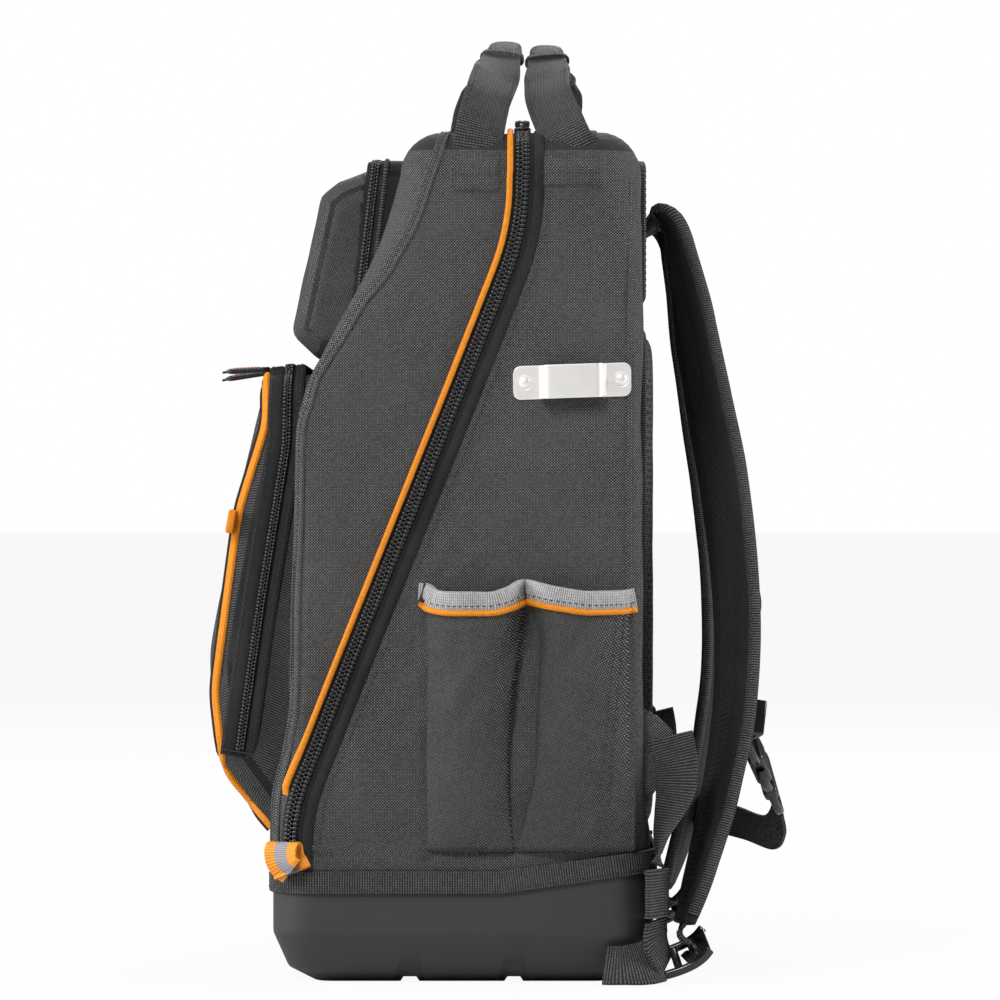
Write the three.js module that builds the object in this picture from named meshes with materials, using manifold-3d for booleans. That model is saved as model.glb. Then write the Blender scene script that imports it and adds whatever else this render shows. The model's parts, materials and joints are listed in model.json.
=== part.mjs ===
// Tool backpack: a cloth rucksack for hand tools that stands up on a moulded, hollow base.
// Millimetres. +Z is up, -Y is the outer front, +Y faces the wearer and +X is the wearer's right.
// The origin is the middle of the base's flat underside.

import * as THREE from "three";
import { mergeVertices } from "three/addons/utils/BufferGeometryUtils.js";
import Module from "manifold-3d";

const wasm = await Module();
wasm.setup();

// Overall sizes
const bagTop = 444;
const baseHalfDepth = 99.5;
const baseHalfWidth = 174;
const topHalfWidth = 165;
const leanStart = 60;
const cornerRound = 22;
const crownRound = 22;
const gap = 0.3;

// Wall thicknesses
const clothWall = 2.4;
const baseWall = 3;
const baseFloor = 4.6;
const mouldedWall = 3;
const webbingThickness = 2;
const bindingThickness = 2.2;

// Where the moulded base ends and the cloth begins
const rimFront = 53;
const rimRear = 65;
const bindingHalfHeight = 6;

// Main zip, measured in the side view, outwards from the middle of its teeth
const zipTapeHalf = 4.6;
const zipTeethHalf = 3.7;
const zipTeethProud = 1.7;
const pipingWidth = 3;
const pipingProud = 2.6;
const weltWidth = 5;
const weltProud = 1.6;

// Pockets on the front
const hardPocketHalfWidth = 122;
const hardPocketRound = 12;
const hardFrameProud = 4;
const lowerPocketHalfWidth = 136;
const lowerPocketRound = 20;
const pocketTapeHalf = 4;

// Slip pockets on each side
const slipFront = -19.5;
const slipDivider = 33;
const slipRear = 86;
const slipFoot = 74;
const slipTop = 208;
const slipSag = 11;
const slipBulge = 21;
const slipBindingHeight = 9;
const slipPipingHeight = 2.8;

// Steel clip for a tape measure
const clipFront = 26;
const clipRear = 87.5;
const clipHeight = 17.5;
const clipMiddle = 313.5;
const clipTilt = 2;
const clipSteel = 1.5;
const clipBridge = 7;
const rivetHead = 4.1;
const rivetShank = 1.8;

// Carrying handles
const handleWidth = 26;
const handleTop = 498;
const gripWidth = 17;
const gripThickness = 8;

// Shoulder straps, back pad and the webbing below them
const strapWidth = 64;
const strapThickness = 11;
const padHalfWidth = 128;
const padTop = 340;
const padFoot = 78;
const padProud = 8;
const yokeHalfWidth = 112;
const yokeTop = 424;
const yokeFoot = 359;
const yokeThickness = 3;
const lowerWebWidth = 24;
const chestWebWidth = 20;

// Colours, as roughness and metalness finishes
const nylonBlack = { color: 0x2a2a2c, roughness: 0.8, metalness: 0 };
const rubberBlack = { color: 0x323233, roughness: 0.55, metalness: 0 };
const webBlack = { color: 0x1d1d1f, roughness: 0.85, metalness: 0 };
const orangeCord = { color: 0xee8a12, roughness: 0.7, metalness: 0 };
const greyTape = { color: 0x9c9ca0, roughness: 0.5, metalness: 0.1 };
const steel = { color: 0xd8d2c8, roughness: 0.35, metalness: 1 };
const buckleBlack = { color: 0x161617, roughness: 0.35, metalness: 0 };

const rad = THREE.MathUtils.degToRad;
const lerp = THREE.MathUtils.lerp;

// Half the bag's width at height z: the side panels are flat and lean in towards the top.
function sideAt(z) {
  const share = Math.max(0, z - leanStart) / (bagTop - leanStart);
  return lerp(baseHalfWidth, topHalfWidth, share);
}

// Solids and meshes

function solid(geometry) {
  const bare = geometry.index ? geometry.toNonIndexed() : geometry.clone();
  bare.deleteAttribute("normal");
  bare.deleteAttribute("uv");
  const merged = mergeVertices(bare, 1e-4);
  const triVerts = new Uint32Array(merged.index.array);
  const vertProperties = merged.attributes.position.array;
  return new wasm.Manifold(new wasm.Mesh({ numProp: 3, vertProperties, triVerts }));
}

function geometryOf(made) {
  const mesh = made.getMesh();
  const geometry = new THREE.BufferGeometry();
  geometry.setAttribute("position", new THREE.BufferAttribute(Float32Array.from(mesh.vertProperties), 3));
  geometry.setIndex(new THREE.BufferAttribute(Uint32Array.from(mesh.triVerts), 1));
  geometry.computeVertexNormals();
  return geometry;
}

function mirrored(geometry) {
  const copy = geometry.index ? geometry.toNonIndexed() : geometry.clone();
  const place = copy.attributes.position;
  for (let i = 0; i < place.count; i += 3) {
    const [a, b, c] = [0, 1, 2].map((k) => new THREE.Vector3().fromBufferAttribute(place, i + k));
    [a, c, b].forEach((p, k) => place.setXYZ(i + k, -p.x, p.y, p.z));
  }
  copy.computeVertexNormals();
  return copy;
}

const bag = new THREE.Group();

function add(name, shape, finish) {
  const geometry = shape.isBufferGeometry ? shape : geometryOf(shape);
  const mesh = new THREE.Mesh(geometry, new THREE.MeshStandardMaterial(finish));
  mesh.name = name;
  bag.add(mesh);
  return mesh;
}

function addPair(name, shape, finish) {
  const geometry = shape.isBufferGeometry ? shape : geometryOf(shape);
  add(name + "_right", geometry, finish);
  add(name + "_left", mirrored(geometry), finish);
}

// Outlines

// The round that replaces a corner, as points from the first edge to the second.
function roundCorner(before, corner, after, radius, steps) {
  const back = before.clone().sub(corner).normalize();
  const ahead = after.clone().sub(corner).normalize();
  const half = Math.acos(THREE.MathUtils.clamp(back.dot(ahead), -1, 1)) / 2;
  if (radius < 0.05 || half > Math.PI / 2 - 1e-3) return [corner.clone()];
  const inwards = back.clone().add(ahead).normalize();
  const centre = corner.clone().addScaledVector(inwards, radius / Math.sin(half));
  const start = corner.clone().addScaledVector(back, radius / Math.tan(half)).sub(centre);
  const end = corner.clone().addScaledVector(ahead, radius / Math.tan(half)).sub(centre);
  let turn = end.angle() - start.angle();
  if (turn > Math.PI) turn -= 2 * Math.PI;
  if (turn < -Math.PI) turn += 2 * Math.PI;
  return Array.from({ length: steps + 1 }, (_, k) =>
    start.clone().rotateAround(new THREE.Vector2(), (turn * k) / steps).add(centre));
}

// A closed outline given anticlockwise by corners { y, z, round }, moved inwards by inset.
function roundedOutline(corners, inset = 0, steps = 3) {
  const count = corners.length;
  const places = corners.map((c) => new THREE.Vector2(c.y, c.z));
  const edges = places.map((p, i) => {
    const along = places[(i + 1) % count].clone().sub(p).normalize();
    return { from: p.clone().add(new THREE.Vector2(-along.y, along.x).multiplyScalar(inset)), along };
  });
  const moved = edges.map((edge, i) => {
    const last = edges[(i + count - 1) % count];
    const across = last.along.cross(edge.along);
    if (Math.abs(across) < 1e-6) return edge.from.clone();
    const reach = edge.from.clone().sub(last.from).cross(edge.along) / across;
    return last.from.clone().addScaledVector(last.along, reach);
  });
  return moved.flatMap((p, i) => {
    const before = moved[(i + count - 1) % count];
    const after = moved[(i + 1) % count];
    const convex = p.clone().sub(before).cross(after.clone().sub(p)) > 0;
    const radius = Math.max(corners[i].round + (convex ? -inset : inset), 0.4);
    return roundCorner(before, p, after, radius, steps);
  });
}

// An open line through corners { y, z, round }.
function roundedLine(corners, steps = 5) {
  const places = corners.map((c) => new THREE.Vector2(c.y, c.z));
  return places.flatMap((p, i) => {
    if (i === 0 || i === places.length - 1) return [p];
    return roundCorner(places[i - 1], p, places[i + 1], corners[i].round, steps);
  });
}

// The line moved to its left by distance, as seen when walking along it.
function offsetLine(line, distance) {
  return line.map((p, i) => {
    const before = line[Math.max(i - 1, 0)];
    const after = line[Math.min(i + 1, line.length - 1)];
    const along = after.clone().sub(before).normalize();
    return p.clone().add(new THREE.Vector2(-along.y, along.x).multiplyScalar(distance));
  });
}

// Surfaces through rings

function capTriangles(ring, first) {
  const normal = new THREE.Vector3();
  ring.forEach((p, i) => normal.add(new THREE.Vector3().crossVectors(p, ring[(i + 1) % ring.length])));
  normal.normalize();
  const u = new THREE.Vector3(normal.y, normal.z, normal.x).cross(normal).normalize();
  const v = new THREE.Vector3().crossVectors(normal, u);
  const flat = ring.map((p) => new THREE.Vector2(p.dot(u), p.dot(v)));
  return THREE.ShapeUtils.triangulateShape(flat, []).flatMap(([a, b, c]) => {
    const area = flat[b].clone().sub(flat[a]).cross(flat[c].clone().sub(flat[a]));
    return area > 0 ? [first + a, first + b, first + c] : [first + a, first + c, first + b];
  });
}

// A closed body through rings of equally many points, with flat ends.
function skin(rings) {
  const count = rings[0].length;
  const points = rings.flat();
  const index = [];
  for (let r = 0; r + 1 < rings.length; r++) {
    for (let i = 0; i < count; i++) {
      const a = r * count + i;
      const b = r * count + ((i + 1) % count);
      index.push(a, b, b + count, a, b + count, a + count);
    }
  }
  const start = capTriangles(rings[0], 0);
  for (let i = 0; i < start.length; i += 3) index.push(start[i], start[i + 2], start[i + 1]);
  index.push(...capTriangles(rings[rings.length - 1], (rings.length - 1) * count));
  let volume = 0;
  for (let i = 0; i < index.length; i += 3) {
    const [a, b, c] = [0, 1, 2].map((k) => points[index[i + k]]);
    volume += a.dot(new THREE.Vector3().crossVectors(b, c));
  }
  const geometry = new THREE.BufferGeometry().setFromPoints(points);
  geometry.setIndex(volume < 0 ? index.reverse() : index);
  geometry.computeVertexNormals();
  return geometry;
}

// A prism along X over an outline in the side view.
const wayAcross = 260;
function prism(outline, from = -wayAcross, to = wayAcross) {
  const shape = new THREE.Shape(outline);
  const geometry = new THREE.ExtrudeGeometry(shape, { depth: to - from, bevelEnabled: false });
  const turn = new THREE.Matrix4().set(0, 0, 1, from, 1, 0, 0, 0, 0, 1, 0, 0, 0, 0, 0, 1);
  geometry.applyMatrix4(turn);
  return solid(geometry);
}

// A form whose flat sides have a side-view outline, with an edge round all the way about them.
function pillow(corners, halfWidth, edge, inset = 0, edgeSteps = 3, roundSteps = 2) {
  const stations = [];
  for (let k = 0; k <= edgeSteps; k++) {
    const angle = rad(90) * (1 - k / edgeSteps);
    const reach = edge - inset;
    const x = halfWidth - edge + reach * Math.sin(angle);
    stations.push({ x, inset: inset + reach * (1 - Math.cos(angle)) });
  }
  const rings = [...stations, ...stations.map((s) => ({ x: -s.x, inset: s.inset })).reverse()];
  return solid(skin(rings.map((s) =>
    roundedOutline(corners, s.inset, roundSteps).map((p) => new THREE.Vector3(s.x, p.x, p.y)))));
}

// A rounded rectangle in plan at height z.
const cornerSteps = 4;
function planRing({ front, rear, half, frontRound, rearRound }, z) {
  const corners = [
    { x: half, y: front, round: frontRound, turn: -90 },
    { x: half, y: rear, round: rearRound, turn: 0 },
    { x: -half, y: rear, round: rearRound, turn: 90 },
    { x: -half, y: front, round: frontRound, turn: 180 },
  ];
  return corners.flatMap(({ x, y, round, turn }) => {
    const cx = x - Math.sign(x) * round;
    const cy = y === front ? y + round : y - round;
    return Array.from({ length: cornerSteps + 1 }, (_, k) => {
      const angle = rad(turn + (90 * k) / cornerSteps);
      return new THREE.Vector3(cx + round * Math.cos(angle), cy + round * Math.sin(angle), z);
    });
  });
}

// Cloth body, as plan sections. up is a share of bagTop, front and rear of baseHalfDepth and
// the rounds of cornerRound. The lowest row lies inside the base and is cut off at the rim.
const bodySections = [
  { up: 0.090, front: 0.997, rear: 0.997, frontRound: 1.00, rearRound: 1.00 },
  { up: 0.149, front: 0.995, rear: 0.985, frontRound: 1.00, rearRound: 0.95 },
  { up: 0.214, front: 0.970, rear: 0.950, frontRound: 0.60, rearRound: 0.65 },
  { up: 0.293, front: 0.905, rear: 0.937, frontRound: 0.32, rearRound: 0.42 },
  { up: 0.405, front: 0.879, rear: 0.931, frontRound: 0.25, rearRound: 0.36 },
  { up: 0.642, front: 0.864, rear: 0.931, frontRound: 0.25, rearRound: 0.36 },
  { up: 0.687, front: 0.828, rear: 0.931, frontRound: 0.30, rearRound: 0.36 },
  { up: 0.732, front: 0.742, rear: 0.931, frontRound: 0.40, rearRound: 0.40 },
  { up: 0.766, front: 0.662, rear: 0.931, frontRound: 0.50, rearRound: 0.45 },
  { up: 0.860, front: 0.455, rear: 0.931, frontRound: 0.80, rearRound: 0.65 },
  { up: 0.912, front: 0.372, rear: 0.931, frontRound: 1.00, rearRound: 0.90 },
  { up: 0.950, front: 0.325, rear: 0.931, frontRound: 1.15, rearRound: 1.05 },
];

function bodySection(row, inset) {
  return {
    front: -row.front * baseHalfDepth + inset,
    rear: row.rear * baseHalfDepth - inset,
    half: sideAt(row.up * bagTop) - inset,
    frontRound: Math.max(row.frontRound * cornerRound - inset, 1),
    rearRound: Math.max(row.rearRound * cornerRound - inset, 1),
  };
}

const crownSteps = 4;
function body(inset) {
  const rings = bodySections.map((row) => planRing(bodySection(row, inset), row.up * bagTop));
  const last = bodySections[bodySections.length - 1];
  for (let k = 1; k <= crownSteps; k++) {
    const angle = rad((90 * k) / crownSteps);
    const reach = crownRound - inset;
    const z = bagTop - crownRound + reach * Math.sin(angle);
    rings.push(planRing(bodySection(last, inset + reach * (1 - Math.cos(angle))), z));
  }
  return solid(skin(rings));
}

// Moulded base, as plan sections: the underside and the lower edges are facets.
// up is a share of rimRear, depth of baseHalfDepth, width of baseHalfWidth and round of cornerRound.
const baseSections = [
  { up: 0.00, depth: 0.774, width: 0.885, round: 0.40 },
  { up: 0.12, depth: 0.920, width: 0.958, round: 0.80 },
  { up: 0.40, depth: 1.000, width: 1.000, round: 1.00 },
  { up: 1.40, depth: 1.000, width: 1.000, round: 1.00 },
];

function base(inset, raised = 0) {
  return solid(skin(baseSections.map((row, i) => planRing({
    front: -row.depth * baseHalfDepth + inset,
    rear: row.depth * baseHalfDepth - inset,
    half: row.width * baseHalfWidth - inset,
    frontRound: Math.max(row.round * cornerRound - inset, 1),
    rearRound: Math.max(row.round * cornerRound - inset, 1),
  }, row.up * rimRear + (i < 2 ? raised : 0)))));
}

// Side-view regions that the bag is cut into

const farOut = 160;
const riseStart = 0.2 * baseHalfDepth;
const riseEnd = 1.05 * baseHalfDepth;
function rimLine(lift) {
  return [
    new THREE.Vector2(-farOut, rimFront + lift),
    new THREE.Vector2(riseStart, rimFront + lift),
    new THREE.Vector2(riseEnd, rimRear + lift),
    new THREE.Vector2(farOut, rimRear + lift),
  ];
}
const farUp = [new THREE.Vector2(farOut, 600), new THREE.Vector2(-farOut, 600)];
const aboveRim = (lift) => prism([...rimLine(lift), ...farUp]);
const rimBand = (low, high) => prism([...rimLine(low), ...rimLine(high).reverse()]);

// The middle of the main zip, from below the rim to above the top panel.
const zipRun = roundedLine([
  { y: -0.9045 * baseHalfDepth, z: 30, round: 0 },
  { y: -0.8945 * baseHalfDepth, z: 92, round: 90 },
  { y: 0.3065 * baseHalfDepth, z: 392, round: 130 },
  { y: 0.3116 * baseHalfDepth, z: bagTop + 40, round: 0 },
]);
const zipStrip = (before, after) => prism([
  ...offsetLine(zipRun, -after),
  ...offsetLine(zipRun, before).reverse(),
]);
function beforeZip(distance) {
  const frontEnd = [new THREE.Vector2(-farOut, bagTop + 40), new THREE.Vector2(-farOut, 30)];
  return prism([...offsetLine(zipRun, distance), ...frontEnd]);
}

const bodyOuter = body(0);
const bodyHollow = bodyOuter.subtract(body(clothWall));
const clearOfBody = body(-gap);
const cloth = bodyHollow.intersect(aboveRim(gap));

function onBody(low, high, region) {
  return body(-high).subtract(body(-low)).intersect(region);
}

// Base

function makeBase() {
  const tub = base(0).subtract(base(baseWall, baseFloor)).subtract(aboveRim(0));
  const channel = { depth: 2.2, foot: 10.5, head: 6.5, flare: 12, flareFoot: 19, skin: 1.4 };
  const cuts = [-0.285, 0.256].map((share) => share * baseHalfDepth).map((y) => {
    const slot = (foot, head, top) => prism([
      new THREE.Vector2(y - foot / 2, -1),
      new THREE.Vector2(y + foot / 2, -1),
      new THREE.Vector2(y + head / 2, top),
      new THREE.Vector2(y - head / 2, top),
    ]);
    const flare = slot(channel.flareFoot, channel.head, channel.flare).subtract(base(channel.skin));
    return slot(channel.foot, channel.head, channel.depth).add(flare);
  });
  add("base_tub", cuts.reduce((left, cut) => left.subtract(cut), tub), rubberBlack);
  const band = base(-gap - bindingThickness).subtract(base(-gap));
  add("base_binding", band.intersect(rimBand(-bindingHalfHeight, bindingHalfHeight)), webBlack);
}

// Cloth body and its main zip

const zipTop = zipTapeHalf + 1.2;
function makeBody() {
  const frontCloth = cloth.intersect(beforeZip(zipTapeHalf + gap));
  const rearCloth = cloth.subtract(beforeZip(-zipTop - gap));
  add("front_shell", frontCloth, nylonBlack);
  add("rear_shell", rearCloth, nylonBlack);
  const tape = body(0.4).subtract(body(clothWall)).intersect(zipStrip(zipTapeHalf, zipTop));
  const teeth = onBody(-1, zipTeethProud, zipStrip(zipTeethHalf, zipTeethHalf));
  const cover = bindingHalfHeight + gap;
  add("main_zip", tape.add(teeth).intersect(aboveRim(cover)), webBlack);
  const pipingInner = zipTapeHalf + gap;
  const piping = onBody(gap, pipingProud, zipStrip(pipingInner + pipingWidth, -pipingInner));
  const pipingStart = rimFront + 42;
  const high = prism(roundedOutline([
    { y: -farOut, z: pipingStart, round: 0 },
    { y: farOut, z: pipingStart, round: 0 },
    { y: farOut, z: 600, round: 0 },
    { y: -farOut, z: 600, round: 0 },
  ], 0, 1));
  add("main_zip_piping", piping.intersect(high), orangeCord);
  const welt = onBody(gap, weltProud, zipStrip(-zipTop - gap, zipTop + gap + weltWidth));
  add("main_zip_welt", welt.intersect(aboveRim(cover)), webBlack);
}

// Two zip sliders parked side by side at the right end of the top, their pulls lying to the left.
// crown is the angle round the crown that a slider sits at, aside turns its pull to the rear and
// up is the pull's height over the top panel.
const slider = { length: 13, width: 9, height: 4.5, pullLength: 36, pullWidth: 7.5, pullThick: 3 };
const crownMiddle = sideAt(bagTop - crownRound) - crownRound;
const parkedSliders = [
  { name: "main_slider_outer", x: crownMiddle, crown: 48, aside: 24, up: 3.6 },
  { name: "main_slider_inner", x: crownMiddle - 13, crown: 90, aside: -8, up: 5.5 },
];

function makeMainSliders() {
  const zipMiddle = zipRun[zipRun.length - 1].x;
  const stand = zipTeethProud + gap;
  for (const { name, x, crown, aside, up } of parkedSliders) {
    const head = new THREE.BoxGeometry(slider.length, slider.width, slider.height);
    const radius = crownRound + stand + slider.height / 2;
    head.translate(0, 0, radius).rotateY(rad(90 - crown)).translate(x, zipMiddle, bagTop - crownRound);
    const pull = new THREE.BoxGeometry(slider.pullLength, slider.pullWidth, slider.pullThick);
    pull.translate(-slider.pullLength / 2, 0, 0).rotateZ(rad(-aside));
    pull.translate(x + radius * Math.cos(rad(crown)), zipMiddle, bagTop + up);
    add(name, solid(head).add(solid(pull)), buckleBlack);
  }
}

// Moulded pocket at the top of the front

// Side-view points of the front pockets are written as distances behind the base's front.
function fromFront(points) {
  return points.map((point) => ({ ...point, y: point.y - baseHalfDepth }));
}

const hardShellCorners = fromFront([
  { y: 79.5, z: 330, round: 0 },
  { y: 79.5, z: 427, round: 0 },
  { y: 51.5, z: 427, round: 2 },
  { y: 33.5, z: 420.5, round: 5 },
  { y: 24, z: 413, round: 6 },
  { y: 8, z: 340, round: 9 },
  { y: 21.5, z: 327, round: 6 },
]);
const hardFrameCorners = fromFront([
  { y: 79.5, z: 322, round: 0 },
  { y: 79.5, z: 431.5, round: 0 },
  { y: 47.5, z: 431.5, round: 5 },
  { y: 29.5, z: 322, round: 5 },
]);
const hardZipRun = roundedLine(fromFront([
  { y: 39, z: 300, round: 0 },
  { y: 56.5, z: 460, round: 0 },
]));

function makeHardPocket() {
  const strip = (before, after) => prism([
    ...offsetLine(hardZipRun, -after),
    ...offsetLine(hardZipRun, before).reverse(),
  ]);
  const wide = 80;
  const shellOuter = pillow(hardShellCorners, hardPocketHalfWidth, hardPocketRound, 0, 2);
  const shellInner = pillow(hardShellCorners, hardPocketHalfWidth, hardPocketRound, mouldedWall, 2);
  const shell = shellOuter.subtract(shellInner).intersect(strip(wide, -pocketTapeHalf - gap));
  add("hard_pocket_shell", shell.subtract(clearOfBody), nylonBlack);
  const frameHalf = hardPocketHalfWidth + hardFrameProud;
  const form = (inset) => pillow(hardFrameCorners, frameHalf, hardPocketRound, inset);
  const wall = form(0).subtract(form(clothWall)).subtract(clearOfBody);
  const teeth = form(-1.2).subtract(form(1));
  const ridge = teeth.intersect(strip(2.6, 2.6)).subtract(clearOfBody);
  add("hard_pocket_zip", wall.intersect(strip(pocketTapeHalf, pocketTapeHalf)).add(ridge), webBlack);
  add("hard_pocket_gusset", wall.intersect(strip(-pocketTapeHalf - gap, wide)), nylonBlack);
}

// Soft pocket low on the front

const lowerPocketCorners = fromFront([
  { y: 39.5, z: 77, round: 0 },
  { y: 39.5, z: 318, round: 0 },
  { y: -4.5, z: 318, round: 13 },
  { y: -21.5, z: 248, round: 120 },
  { y: -35.5, z: 168, round: 90 },
  { y: -31.5, z: 118, round: 50 },
  { y: -1.5, z: 77, round: 8 },
]);
const lowerZipRun = roundedLine(fromFront([
  { y: 4.5, z: 360, round: 0 },
  { y: 4, z: 276, round: 100 },
  { y: -18.5, z: 112, round: 60 },
  { y: -17.5, z: 60, round: 0 },
]));

function makeLowerPocket() {
  const strip = (before, after) => prism([
    ...offsetLine(lowerZipRun, -before),
    ...offsetLine(lowerZipRun, after).reverse(),
  ]);
  const wide = 90;
  const form = (inset) => pillow(lowerPocketCorners, lowerPocketHalfWidth, lowerPocketRound, inset);
  const wall = form(0).subtract(form(clothWall)).subtract(clearOfBody);
  add("lower_pocket_front", wall.intersect(strip(wide, -pocketTapeHalf - gap)), nylonBlack);
  const ridge = form(-1.3).subtract(form(1)).intersect(strip(2.8, 2.8)).subtract(clearOfBody);
  const zipEnd = 119;
  const aboveEnd = prism([
    new THREE.Vector2(-farOut, zipEnd),
    new THREE.Vector2(farOut, zipEnd),
    new THREE.Vector2(farOut, 400),
    new THREE.Vector2(-farOut, 400),
  ]);
  const tape = wall.intersect(strip(pocketTapeHalf, pocketTapeHalf));
  add("lower_pocket_zip", tape.add(ridge.intersect(aboveEnd)), webBlack);
  add("lower_pocket_gusset", wall.intersect(strip(-pocketTapeHalf - gap, wide)), nylonBlack);
}

// Slip pockets on the sides

const slipSteps = 8;
const slipRows = 4;

// Height of the pockets' mouth at a place along the side: it is highest at the seams.
function slipMouth(share) {
  return slipTop - slipSag * Math.sin(Math.PI * share) ** 0.7;
}

// How far the cloth stands off the side panel: fullest at the mouth and sewn flat at the foot.
function slipDepth(share, up) {
  return slipBulge * Math.sin(Math.PI * share) ** 0.75 * (0.12 + 0.88 * up ** 0.7);
}

// A wavy strip of the pockets' cloth between two lines below the mouth.
function slipSheet(below, above, thickness, rows) {
  const rings = [];
  const seams = [slipFront, slipDivider, slipRear];
  for (let s = 0; s <= 2 * slipSteps; s++) {
    const pocket = s < slipSteps ? 0 : 1;
    const share = s / slipSteps - pocket;
    const y = lerp(seams[pocket], seams[pocket + 1], share);
    const mouth = slipMouth(share);
    const foot = below === null ? slipFoot : mouth - below;
    const head = mouth - above;
    const outer = [];
    const inner = [];
    for (let r = 0; r <= rows; r++) {
      const z = lerp(foot, head, r / rows);
      const up = THREE.MathUtils.clamp((z - slipFoot) / (slipTop - slipFoot), 0, 1);
      const stand = sideAt(z) + gap + slipDepth(share, up);
      inner.push(new THREE.Vector3(stand, y, z));
      outer.push(new THREE.Vector3(stand + thickness, y, z));
    }
    rings.push([...outer, ...inner.reverse()]);
  }
  return skin(rings);
}

function makeSlipPockets() {
  const pipingFoot = slipBindingHeight + gap + slipPipingHeight;
  addPair("slip_pocket", slipSheet(null, pipingFoot + gap, clothWall, slipRows), nylonBlack);
  addPair("slip_piping", slipSheet(pipingFoot, slipBindingHeight + gap, clothWall + 1, 1), orangeCord);
  addPair("slip_binding", slipSheet(slipBindingHeight, 0, clothWall + 0.6, 1), greyTape);
}

// Steel clip on the right side panel

function makeClip() {
  const stand = sideAt(clipMiddle) + gap;
  const legShare = 0.235;
  const length = clipRear - clipFront;
  const stepFront = clipFront + legShare * length;
  const stepRear = clipRear - legShare * 0.93 * length;
  const slope = 1.6;
  const run = (out) => [
    [clipFront, out],
    [stepFront - (out > 0 ? slope / 2 : 0), out],
    [stepFront + slope - (out > 0 ? slope / 2 : 0), out + clipBridge],
    [stepRear - slope + (out > 0 ? slope / 2 : 0), out + clipBridge],
    [stepRear + (out > 0 ? slope / 2 : 0), out],
    [clipRear, out],
  ].map(([y, x]) => new THREE.Vector2(x, y));
  const shape = new THREE.Shape([...run(0), ...run(clipSteel).reverse()]);
  const strip = new THREE.ExtrudeGeometry(shape, { depth: clipHeight, bevelEnabled: false });
  strip.translate(0, 0, -clipHeight / 2);
  const half = clipHeight / 2;
  const outline = prism(roundedOutline([
    { y: clipFront, z: -half, round: 4 },
    { y: clipRear, z: -half, round: 4 },
    { y: clipRear, z: half, round: 4 },
    { y: clipFront, z: half, round: 4 },
  ]));
  const rivetPlaces = [clipFront + 0.1 * length, clipRear - 0.085 * length];
  let plate = solid(strip).intersect(outline);
  const place = (geometry) => {
    const middle = (clipFront + clipRear) / 2;
    const lean = Math.atan((baseHalfWidth - topHalfWidth) / (bagTop - leanStart));
    geometry.translate(0, -middle, 0).rotateX(rad(clipTilt)).rotateY(-lean);
    return geometry.translate(stand, middle, clipMiddle);
  };
  const rivets = rivetPlaces.map((y) => {
    const clearance = 0.25;
    const hole = new THREE.CylinderGeometry(rivetShank + clearance, rivetShank + clearance, 20, 12);
    plate = plate.subtract(solid(hole.rotateZ(rad(90)).translate(0, y, 0)));
    const seat = clipSteel + gap;
    const profile = [
      [0, gap], [rivetShank, gap], [rivetShank, seat], [rivetHead, seat],
      [rivetHead, seat + 0.6], [rivetHead * 0.72, seat + 1.3], [0, seat + 1.5],
    ].map(([r, h]) => new THREE.Vector2(r, h));
    return new THREE.LatheGeometry(profile, 16).rotateZ(rad(-90)).translate(0, y, 0);
  });
  add("tape_clip", place(geometryOf(plate)), steel);
  add("clip_rivet_front", solid(place(rivets[0])), steel);
  add("clip_rivet_rear", solid(place(rivets[1])), steel);
}

// Straps: a section carried along a row of stations

const flatSection = [[1, 1], [-1, 1], [-1, -1], [1, -1]];
const paddedSection = [[1, 0.3], [0.85, 0.9], [0.3, 1], [-0.3, 1], [-0.85, 0.9], [-1, 0.3],
  [-1, -0.3], [-0.85, -0.9], [-0.3, -1], [0.3, -1], [0.85, -0.9], [1, -0.3]];
const foldedSection = [[1, 0.4], [0.75, 1], [-0.75, 1], [-1, 0.4], [-1, -0.4], [-0.75, -1], [0.75, -1], [1, -0.4]];

// Each station has a place, the way across the strap, a width and a thickness.
function strap(stations, steps, section) {
  const curve = new THREE.CatmullRomCurve3(stations.map((s) => s.place), false, "centripetal");
  const rings = [];
  for (let k = 0; k <= steps; k++) {
    const along = (k / steps) * (stations.length - 1);
    const i = Math.min(Math.floor(along), stations.length - 2);
    const share = along - i;
    const place = curve.getPoint(k / steps);
    const tangent = curve.getTangent(k / steps);
    const across = stations[i].across.clone().lerp(stations[i + 1].across, share).normalize();
    const normal = new THREE.Vector3().crossVectors(tangent, across).normalize();
    across.crossVectors(normal, tangent).normalize();
    const half = lerp(stations[i].width, stations[i + 1].width, share) / 2;
    const thick = lerp(stations[i].thick, stations[i + 1].thick, share) / 2;
    rings.push(section.map(([a, b]) =>
      place.clone().addScaledVector(across, a * half).addScaledVector(normal, b * thick)));
  }
  return skin(rings);
}

const point = (x, y, z) => new THREE.Vector3(x, y, z);

// Handles: half an arch from the middle out, as shares. across is of topHalfWidth, up runs from the
// top panel to handleTop, lean from the grip's place to the foot's, and twist turns the webbing.
const handleStations = [
  { across: 0.00, up: 1.00, lean: 0.00, twist: 0, width: 0, thick: 1 },
  { across: 0.20, up: 0.98, lean: 0.00, twist: 0, width: 0, thick: 1 },
  { across: 0.36, up: 0.91, lean: 0.04, twist: 0, width: 0.05, thick: 0.9 },
  { across: 0.50, up: 0.80, lean: 0.15, twist: 8, width: 0.6, thick: 0.1 },
  { across: 0.66, up: 0.62, lean: 0.35, twist: 30, width: 1, thick: 0 },
  { across: 0.82, up: 0.38, lean: 0.62, twist: 34, width: 1, thick: 0 },
  { across: 0.94, up: 0.06, lean: 0.86, twist: 12, width: 1, thick: 0 },
  { across: 0.975, up: -0.22, lean: 1.00, twist: 0, width: 1, thick: 0 },
];

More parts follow.
